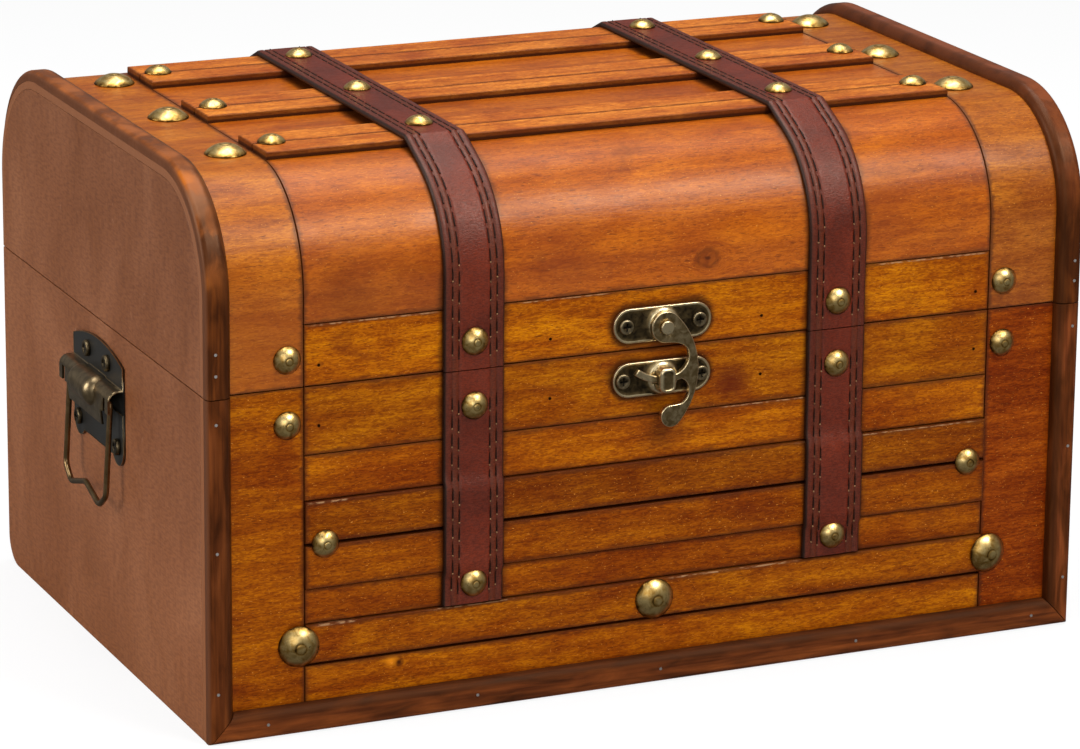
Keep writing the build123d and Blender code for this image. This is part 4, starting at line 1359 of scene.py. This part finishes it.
        # The pale thread is a painted glint on the dots where the stitches dive
        worn = WaxedThread("pale thread painted as a glint where it dives", "#5a3e26", "#8c6a48")
        materials = [finish.build() for finish in (StrapLeather(), WaxedThread(), worn)]
        for side, word in zip(SIDES, ("left", "right")):
            for node, route in (
                (f"{word}_lid_strap", self.over_lid()),
                (f"front_{word}_strap", self.down_front()),
                (f"back_{word}_strap", self.down_back()),
            ):
                form = self.swept(route, side * STRAP_AT)
                self.stitch(form, route, side * STRAP_AT)
                settle(form, node + "_stitched", [node], materials, sharp=50.0)


@dataclass
class Tacks:
    """Domed upholstery tacks of aged brass, with a stamped ring on the crown."""

    strap_y: float = -122.7
    corner_y: float = -121.339
    board_top: float = 219.5
    strap_top: float = 224.7
    rim: float = 0.4
    dents: float = 0.06
    ring_at: float = 0.26
    large: Pair = (8.25, 4.2)
    small: Pair = (5.6, 3.3)
    lean: float = 5.81
    corner_x: float = 152.0
    board_x: float = 156.0
    band_x: float = 160.0
    pair_x: float = 141.0
    foot_row: float = 34.77
    strap_foot_row: float = 52.03
    pair_row: float = 75.51
    chest_row: float = 124.5
    lid_row: float = 150.5
    top_rows: Point = (-65.5, 0.0, 65.5)
    # Shares of the dome's radius, first with how deep the stamping lies under the ball there
    stamped: Pairs = ((0.0, 0.04), (0.12, 0.04), (0.21, 0.05), (0.24, 0.14), (0.28, 0.12), (0.32, 0.01))
    plain: tuple[float, ...] = (0.37, 0.43, 0.49, 0.56, 0.65, 0.74, 0.82, 0.9, 0.96)

    def dome(self, form: bmesh.types.BMesh, size: Pair, place: Matrix, salt: float) -> None:
        """Spins one tack and puts it in its place.

        Args:
            form: The mesh that it joins.
            size: The head's radius and height.
            place: Where it goes, its dome along Z.
            salt: Where its dents lie in the noise.
        """
        radius, height = size
        rise = height - self.rim
        ball = (radius * radius + rise * rise) / (2 * rise)
        profile = [
            (share, height - ball + math.sqrt(ball * ball - (share * radius) ** 2) - deep)
            for share, deep in (*self.stamped, *((share, 0.0) for share in self.plain))
        ]
        profile += [(1.0, self.rim + 0.03), (1.0, self.rim * 0.4), (0.985, 0.0), (0.6, 0.0), (0.0, 0.0)]
        spun = bmesh.new()
        wear = spun.verts.layers.float.new("crown")
        verts = [spun.verts.new(Vector((share * radius, 0.0, z)) * MM) for share, z in profile]
        edges = [spun.edges.new(pair) for pair in zip(verts, verts[1:])]
        bmesh.ops.spin(spun, geom=verts + edges, **SPUN)
        bmesh.ops.remove_doubles(spun, verts=spun.verts, dist=0.002 * MM)
        for vert in spun.verts:
            share = math.hypot(vert.co.x, vert.co.y) / (radius * MM)
            ring = math.exp(-(((share - self.ring_at) / 0.045) ** 2))
            rim = max(0.0, (share - 0.84) / 0.16)
            vert[wear] = max(0.0, 0.74 - 0.5 * ring - 0.62 * rim)
            dent = noise.noise(vert.co * 330.0 + Vector((salt, salt * 2.3, 0.0))) * self.dents
            if vert.co.z > self.rim * MM * 1.2:
                vert.co.z += dent * MM
        bmesh.ops.transform(spun, matrix=place, verts=spun.verts)
        bmesh.ops.recalc_face_normals(spun, faces=spun.faces)
        taken_up(form, spun)

    def group(self, node: str, size: Pair, places: list[Matrix], material: bpy.types.Material) -> None:
        """Makes the tacks of one CAD node.

        Args:
            node: The node.
            size: The head's radius and height.
            places: Where they go.
            material: Their finish.
        """
        form = bmesh.new()
        form.verts.layers.float.new("crown")
        for number, place in enumerate(places):
            self.dome(form, size, place @ Matrix.Rotation(number * 2.1, 4, "Z"), number * 1.37 + len(node))
        settle(form, node + "_worn", [node], [material], sharp=60.0)

    def pairs(self, x: float, y: float, z: float, lean: float | None = None) -> list[Matrix]:
        """Places of a tack on the left and its fellow on the right.

        Args:
            x: How far they are from the chest's middle.
            y: The face of a forward-facing board, or the place from the front on a top board.
            z: The height.
            lean: How far they lean towards the chest's sides, in degrees, or None on a top board.

        Returns:
            The two places, in metres.
        """
        places = []
        for side in SIDES:
            place = Matrix.Translation(Vector((side * x, y, z)) * MM)
            if lean is not None:
                place = place @ Matrix.Rotation(math.radians(side * lean), 4, "Z") @ FORWARD
            places.append(place)
        return places

    def tops(self, x: float, z: float) -> list[Matrix]:
        """Places of the tacks on the top, three on the left and then three on the right.

        Args:
            x: How far they are from the chest's middle.
            z: The height.

        Returns:
            The six places, in metres.
        """
        rows = [self.pairs(x, y, z) for y in self.top_rows]
        return [row[number] for number in range(len(SIDES)) for row in rows]

    def build(self) -> None:
        """Makes all four groups of tacks."""
        finish = AgedMetal(
            "antiqued brass tacks",
            "#4a3416",
            "#b28a46",
            "#e8ca86",
            rub="crown",
            mottle=3.4,
            blotch=1.9,
            rough=(0.44, 0.32),
        )
        brass = finish.build()
        rows = (self.chest_row, self.strap_foot_row)
        straps = zip(*(self.pairs(STRAP_AT, self.strap_y, z, 0.0) for z in rows))
        for node, size, places in (
            (
                "chest_large_tacks",
                self.large,
                self.pairs(self.corner_x, self.corner_y, self.foot_row, self.lean)
                + self.pairs(0.0, RAISED_Y, self.foot_row, 0.0)[:1],
            ),
            (
                "chest_small_tacks",
                self.small,
                self.pairs(self.board_x, BOARD_Y, self.chest_row, 0.0)
                + self.pairs(self.pair_x, RAISED_Y, self.pair_row, 0.0)
                + [place for side in straps for place in side],
            ),
            ("lid_large_tacks", self.large, self.tops(self.band_x, self.board_top)),
            (
                "lid_small_tacks",
                self.small,
                self.pairs(self.board_x, BOARD_Y, self.lid_row, 0.0)
                + self.pairs(STRAP_AT, self.strap_y, self.lid_row, 0.0)
                + self.tops(self.pair_x, PAIR_TOP)
                + self.tops(STRAP_AT, self.strap_top),
            ),
        ):
            self.group(node, size, places, brass)


@dataclass
class Fittings:
    """Latch, hinges, handles, screws and pins: bronze, dark in its recesses and bright on its edges."""

    plate_face: float = -121.7
    dais_face: float = -123.2
    hook_face: float = -125.6
    lug_face: float = 128.0
    hinge_face: float = 126.2
    end_face: float = 190.0
    handle_plate: float = 1.2
    latch_x: float = 2.0
    latch_high: float = 149.0
    eye_high: float = 126.8
    finger_from: float = -4.0
    plate_size: Pair = (42.6, 14.2)

    def region(self, form: bmesh.types.BMesh, way: Vector, far: float) -> list[bmesh.types.BMFace]:
        """Faces that look one way and lie in one plane.

        Args:
            form: The mesh.
            way: The direction that they look in.
            far: How far out the plane lies along it, in millimetres.

        Returns:
            Those faces.
        """
        looking = [face for face in form.faces if face.normal.dot(way) > 0.995]
        return [face for face in looking if abs(face.calc_center_median().dot(way) / MM - far) < 0.04]

    def inset(
        self, form: bmesh.types.BMesh, faces: list[bmesh.types.BMFace], width: float, depth: float
    ) -> set[bmesh.types.BMVert]:
        """Draws a rim inside some faces.

        Args:
            form: The mesh.
            faces: The faces.
            width: The rim's width, in the mesh's own unit.
            depth: How far the faces rise inside it.

        Returns:
            The corners of the faces inside the rim.
        """
        sizes = {"thickness": width, "depth": depth}
        bmesh.ops.inset_region(form, faces=faces, use_even_offset=False, use_boundary=True, **sizes)
        return {vert for face in faces for vert in face.verts}

    def rubbed_copy(self, node: str, level: float) -> tuple[bmesh.types.BMesh, bmesh.types.BMLayerItem]:
        """A copy of a CAD node with one rub value everywhere.

        Args:
            node: The node.
            level: The value.

        Returns:
            The copy and its rub values' layer.
        """
        form = merged_copy(node, None)
        form.normal_update()
        rub = form.verts.layers.float.new("rub")
        for vert in form.verts:
            vert[rub] = level
        return form, rub

    def plate(self, high: float) -> bmesh.types.BMesh:
        """Stamps one plate of the latch: a stadium with a rolled rim and a round boss in its middle.

        Args:
            high: The height of its middle.

        Returns:
            The plate, with its "rub" values.
        """
        form = bmesh.new()
        rub = form.verts.layers.float.new("rub")
        half_long, half_high = (size / 2 for size in self.plate_size)
        made = bmesh.ops.create_circle(form, cap_ends=True, segments=64, radius=half_high)["verts"]
        bmesh.ops.rotate(form, matrix=Matrix.Rotation(math.tau / 128, 3, "Z"), verts=made)
        for vert in made:
            vert.co.x += math.copysign(half_long - half_high, vert.co.x)
        thick = BOARD_Y - self.plate_face
        grown = bmesh.ops.extrude_face_region(form, geom=form.faces[:])["geom"]
        risen = [g for g in grown if isinstance(g, bmesh.types.BMVert)]
        bmesh.ops.translate(form, vec=(0, 0, thick), verts=risen)
        bmesh.ops.bevel(
            form,
            geom=[e for e in form.edges if all(v.co.z > thick * 0.5 for v in e.verts)],
            offset=0.4,
            offset_type="OFFSET",
            segments=3,
            profile=0.5,
            affect="EDGES",
            material=-1,
            clamp_overlap=True,
        )
        form.normal_update()
        for vert in form.verts:
            vert[rub] = 0.95
        flat = [face for face in form.faces if face.calc_center_median().z > thick - 0.01]
        for width, depth, level in ((0.45, 0.0, 0.9), (0.3, -0.25, 0.35), (1.2, 0.0, 0.12)):
            for vert in self.inset(form, flat, width, depth):
                vert[rub] = level
        top = self.plate_face - self.dais_face
        # Radius, height and rub of the boss, from its middle to its foot under the plate
        crown = ((0.0, top, 0.3), (4.9, top, 0.45), (5.4, top - 0.05, 0.8), (5.9, top - 0.22, 1.0))
        skirt = ((6.25, top - 0.5, 0.9), (6.6, 0.65, 0.6), (7.0, 0.25, 0.3))
        boss = (*crown, *skirt, (7.7, 0.0, 0.15), (9.2, -0.28, 0.12))
        verts = [form.verts.new((radius, 0.0, thick + z)) for radius, z, _ in boss]
        for vert, (_, _, level) in zip(verts, boss):
            vert[rub] = level
        edges = [form.edges.new(pair) for pair in zip(verts, verts[1:])]
        before = set(form.verts) - set(verts)
        bmesh.ops.spin(form, geom=verts + edges, **SPUN)
        spun = set(form.verts) - before
        for vert in spun:
            vert.co.y = max(-half_high + 0.3, min(half_high - 0.3, vert.co.y))
        bmesh.ops.remove_doubles(form, verts=list(spun), dist=0.005)
        middle = Matrix.Translation(Vector((self.latch_x, BOARD_Y, high)) * MM)
        bmesh.ops.transform(form, matrix=middle @ FORWARD @ Matrix.Scale(MM, 4), verts=form.verts)
        return form

    def lug(self, form: bmesh.types.BMesh, node: str) -> None:
        """Adds the lug that the hook catches on, from the CAD plate.

        Args:
            form: The plate that it stands on.
            node: The CAD node.
        """
        whole, rub = self.rubbed_copy(node, 0.95)
        behind = [vert for vert in whole.verts if vert.co.y / MM > self.dais_face + 0.02]
        bmesh.ops.delete(whole, geom=behind, context="VERTS")
        end = self.region(whole, FRONT, self.lug_face)
        if end:
            for vert in self.inset(whole, end, 0.9 * MM, -0.12 * MM):
                vert[rub] = 0.4
        taken_up(form, whole)

    def latch(self, bronze: bpy.types.Material) -> None:
        """The two plates, the swinging hook and its rivet.

        Args:
            bronze: Their finish.
        """
        for node, high in (("latch_plate", self.latch_high), ("eye_plate", self.eye_high)):
            form = self.plate(high)
            if node == "eye_plate":
                self.lug(form, node)
            settle(form, node + "_rubbed", [node], [bronze], sharp=50.0, even=True)
        form, rub = self.rubbed_copy("latch_hook", 1.0)
        for vert in {v for face in self.region(form, FRONT, -self.hook_face) for v in face.verts}:
            vert[rub] = 0.9 if vert.co.x / MM < self.finger_from else 0.52
        settle(form, "latch_hook_rubbed", ["latch_hook"], [bronze], sharp=50.0, even=True)
        form, _ = self.rubbed_copy("latch_rivet", 1.0)
        settle(form, "latch_rivet_rubbed", ["latch_rivet"], [bronze], sharp=50.0)

    def screws(self, bronze: bpy.types.Material) -> None:
        """All screws, whose rims are bright and whose cross recesses are dark.

        Args:
            bronze: Their finish.
        """
        for node, axis, face, (radius, height), shine in (
            ("latch_plate_screws", 1, self.plate_face, (3.0, 1.1), 0.7),
            ("eye_plate_screws", 1, self.plate_face, (3.0, 1.1), 0.7),
            ("hinge_lower_screws", 1, self.hinge_face, (3.0, 1.1), 0.7),
            ("hinge_upper_screws", 1, self.hinge_face, (3.0, 1.1), 0.7),
            ("handle_screws", 0, self.end_face + self.handle_plate, (3.4, 1.6), 0.42),
        ):
            form, rub = self.rubbed_copy(node, 0.5)
            flat = [i for i in range(3) if i != axis]
            waiting = set(form.verts)
            while waiting:
                island, edge = set(), {waiting.pop()}
                while edge:
                    island |= edge
                    edge = {e.other_vert(v) for v in edge for e in v.link_edges} - island
                waiting -= island
                middle = [(min(v.co[i] for v in island) + max(v.co[i] for v in island)) / 2 for i in flat]
                for vert in island:
                    off = math.hypot(*(vert.co[i] - m for i, m in zip(flat, middle))) / MM / radius
                    proud = (abs(vert.co[axis]) / MM - abs(face)) / height
                    vert[rub] = shine if off > 0.7 else (0.0 if proud < 0.8 else shine * 0.4)
            settle(form, node + "_rubbed", [node], [bronze], sharp=50.0)

    def handles(self, bronze: bpy.types.Material) -> None:
        """The pressed handle plates with their rolls.

        Args:
            bronze: Their finish.
        """
        face = self.end_face + self.handle_plate
        for side, word in zip(SIDES, ("left", "right")):
            node = f"{word}_handle_plate"
            form, rub = self.rubbed_copy(node, 0.0)
            for vert in form.verts:
                vert[rub] = min(0.5, max(0.0, (abs(vert.co.x) / MM - face - 0.1) / 6.0))
            inner = self.inset(form, self.region(form, Vector((side, 0, 0)), face), 0.55 * MM, -0.15 * MM)
            for vert in form.verts:
                if vert not in inner and face - 0.3 < abs(vert.co.x) / MM < face + 0.2:
                    vert[rub] = 0.75
            settle(form, node + "_rubbed", [node], [bronze], sharp=50.0, even=True)

    def build(self) -> None:
        """Makes all the metalwork."""
        for name, tints, look, make in (
            ("blackened bronze latch", ("#362d20", "#86704a", "#ecd6a8"), (2.6, 0.8, (0.48, 0.3)), self.latch),
            ("blackened screws", ("#1e1a14", "#6a5c44", "#c5b28c"), (1.6, 0.8, (0.5, 0.32)), self.screws),
            (
                "blued and bronzed handle plate",
                ("#5c5a56", "#77654a", "#d2b98e"),
                (4.0, 0.5, (0.42, 0.3)),
                self.handles,
            ),
        ):
            mottle, blotch, rough = look
            make(AgedMetal(name, *tints, rub="rub", mottle=mottle, blotch=blotch, rough=rough).build())
        wire = AgedMetal(
            "bronzed bail wire",
            "#3d2f1e",
            "#7c6444",
            "#c4a679",
            even=0.45,
            mottle=5.0,
            blotch=0.5,
            rough=(0.36, 0.28),
        )
        hinge = AgedMetal("bronzed hinge leaves", "#2a2217", "#5d4c30", "#9c8254", even=0.42, mottle=4.0)
        pin = AgedMetal(
            "bright steel pins",
            "#3a2414",
            "#f6efe2",
            "#fffdf8",
            even=0.95,
            mottle=0.9,
            blotch=0.6,
            rough=(0.5, 0.4),
            dull_inside=178.0,
        )
        for finish, nodes in (
            (wire, ("left_bail", "right_bail")),
            (hinge, ("hinge_lower_leaves", "hinge_upper_leaves", "hinge_pins")),
            (pin, ("chest_brads", "lid_brads")),
        ):
            metal = finish.build()
            for node in nodes:
                dress(node, metal)


@dataclass
class Studio:
    """Pale floor, soft lamps and the camera at the photograph's angle."""

    place: Point = (-798.58, -1801.64, 669.486)
    heading: float = 24.9951
    tilt: float = 15.2473
    roll: float = 0.8102
    lens: float = 163.3145
    shift: Pair = (-0.07722, -0.0782)
    floor_size: float = 9000.0
    # Where each soft box hangs, the point that it lights, its width and depth, and its watts
    lamps: tuple[tuple[str, Point, Point, Pair, float], ...] = (
        ("key soft box", (620.0, -1080.0, 1380.0), (0.0, 0.0, 110.0), (800.0, 500.0), 20.0),
        ("top soft box", (-50.0, 60.0, 1500.0), (0.0, 0.0, 100.0), (1500.0, 900.0), 21.0),
        ("front soft box", (-700.0, -1600.0, 700.0), (0.0, 0.0, 110.0), (900.0, 900.0), 6.0),
        ("left soft box", (-1700.0, 200.0, 700.0), (-100.0, 0.0, 110.0), (900.0, 900.0), 18.0),
    )

    def hang(self, name: str, data: bpy.types.ID) -> bpy.types.Object:
        """Puts a new object in the scene.

        Args:
            name: Its name.
            data: Its camera, lamp or mesh.

        Returns:
            The object.
        """
        made = bpy.data.objects.new(name, data)
        bpy.context.scene.collection.objects.link(made)
        return made

    def camera(self) -> None:
        """Makes the scene's camera."""
        data = bpy.data.cameras.new("camera")
        data.sensor_fit, data.sensor_width, data.lens = "HORIZONTAL", 36.0, self.lens
        data.shift_x, data.shift_y = self.shift
        data.clip_start, data.clip_end = 0.05, 50.0
        heading, tilt, roll = (math.radians(angle) for angle in (self.heading, self.tilt, self.roll))
        view = Vector((math.sin(heading) * math.cos(tilt), math.cos(heading) * math.cos(tilt), -math.sin(tilt)))
        right = Vector((math.cos(heading), -math.sin(heading), 0.0))
        up = right.cross(view)
        turned = right * math.cos(roll) + up * math.sin(roll)
        upright = up * math.cos(roll) - right * math.sin(roll)
        camera = self.hang("camera", data)
        basis = Matrix((turned, upright, -view)).transposed().to_4x4()
        camera.matrix_world = Matrix.Translation(Vector(self.place) * MM) @ basis
        bpy.context.scene.camera = camera

    def floor(self) -> None:
        """Makes the floor, which the camera sees nearly white but for the chest's shadow."""
        form = bmesh.new()
        bmesh.ops.create_grid(form, x_segments=1, y_segments=1, size=self.floor_size / 2 * MM)
        mesh = bpy.data.meshes.new("floor")
        form.to_mesh(mesh)
        form.free()
        material = bpy.data.materials.new("pale studio floor")
        material.use_nodes = True
        sheet = NodeSheet(material.node_tree)
        rays = sheet.add("LightPath").node.outputs
        shade = sheet.add("Mix", rays["Is Glossy Ray"], "#ececec", "#505050")
        matt = sheet.add("BsdfDiffuse", shade)
        white = sheet.add("Emission", "#ffffff", 1.0)
        seen = sheet.add("Math:MULTIPLY", rays["Is Camera Ray"], 0.8)
        sheet.add("OutputMaterial", sheet.add("MixShader", seen, matt, white))
        mesh.materials.append(material)
        floor = self.hang("floor", mesh)
        floor.location.z = -0.02 * MM

    def world(self) -> None:
        """White all round to the camera, and a softer fill for the rest."""
        world = bpy.data.worlds.new("white studio")
        bpy.context.scene.world = world
        world.use_nodes = True
        sheet = NodeSheet(world.node_tree)
        rays = sheet.add("LightPath").node.outputs
        dim = sheet.add("MapRange", rays["Is Glossy Ray"], 0.0, 1.0, 0.42, 0.22)
        strength = sheet.add("Math:MAXIMUM", rays["Is Camera Ray"], dim)
        sheet.add("OutputWorld", sheet.add("Background", "#ffffff", strength))

    def build(self) -> None:
        """Sets the studio up."""
        bpy.context.scene.view_settings.view_transform = "Standard"
        self.camera()
        self.floor()
        self.world()
        for name, place, aim, (width, depth), watts in self.lamps:
            data = bpy.data.lights.new(name, "AREA")
            data.shape, data.size, data.size_y, data.energy = "RECTANGLE", width * MM, depth * MM, watts
            lamp = self.hang(name, data)
            lamp.location = Vector(place) * MM
            lamp.rotation_euler = (Vector(aim) - Vector(place)).to_track_quat("-Z", "Y").to_euler()


def main() -> None:
    """Dresses the chest and sets up the studio."""
    logging.basicConfig(level=logging.INFO, format="%(message)s")
    for part in (Boards(), Straps(), Tacks(), Fittings(), Studio()):
        LOG.info("%s", type(part).__name__)
        part.build()


if __name__ == "__main__":
    main()
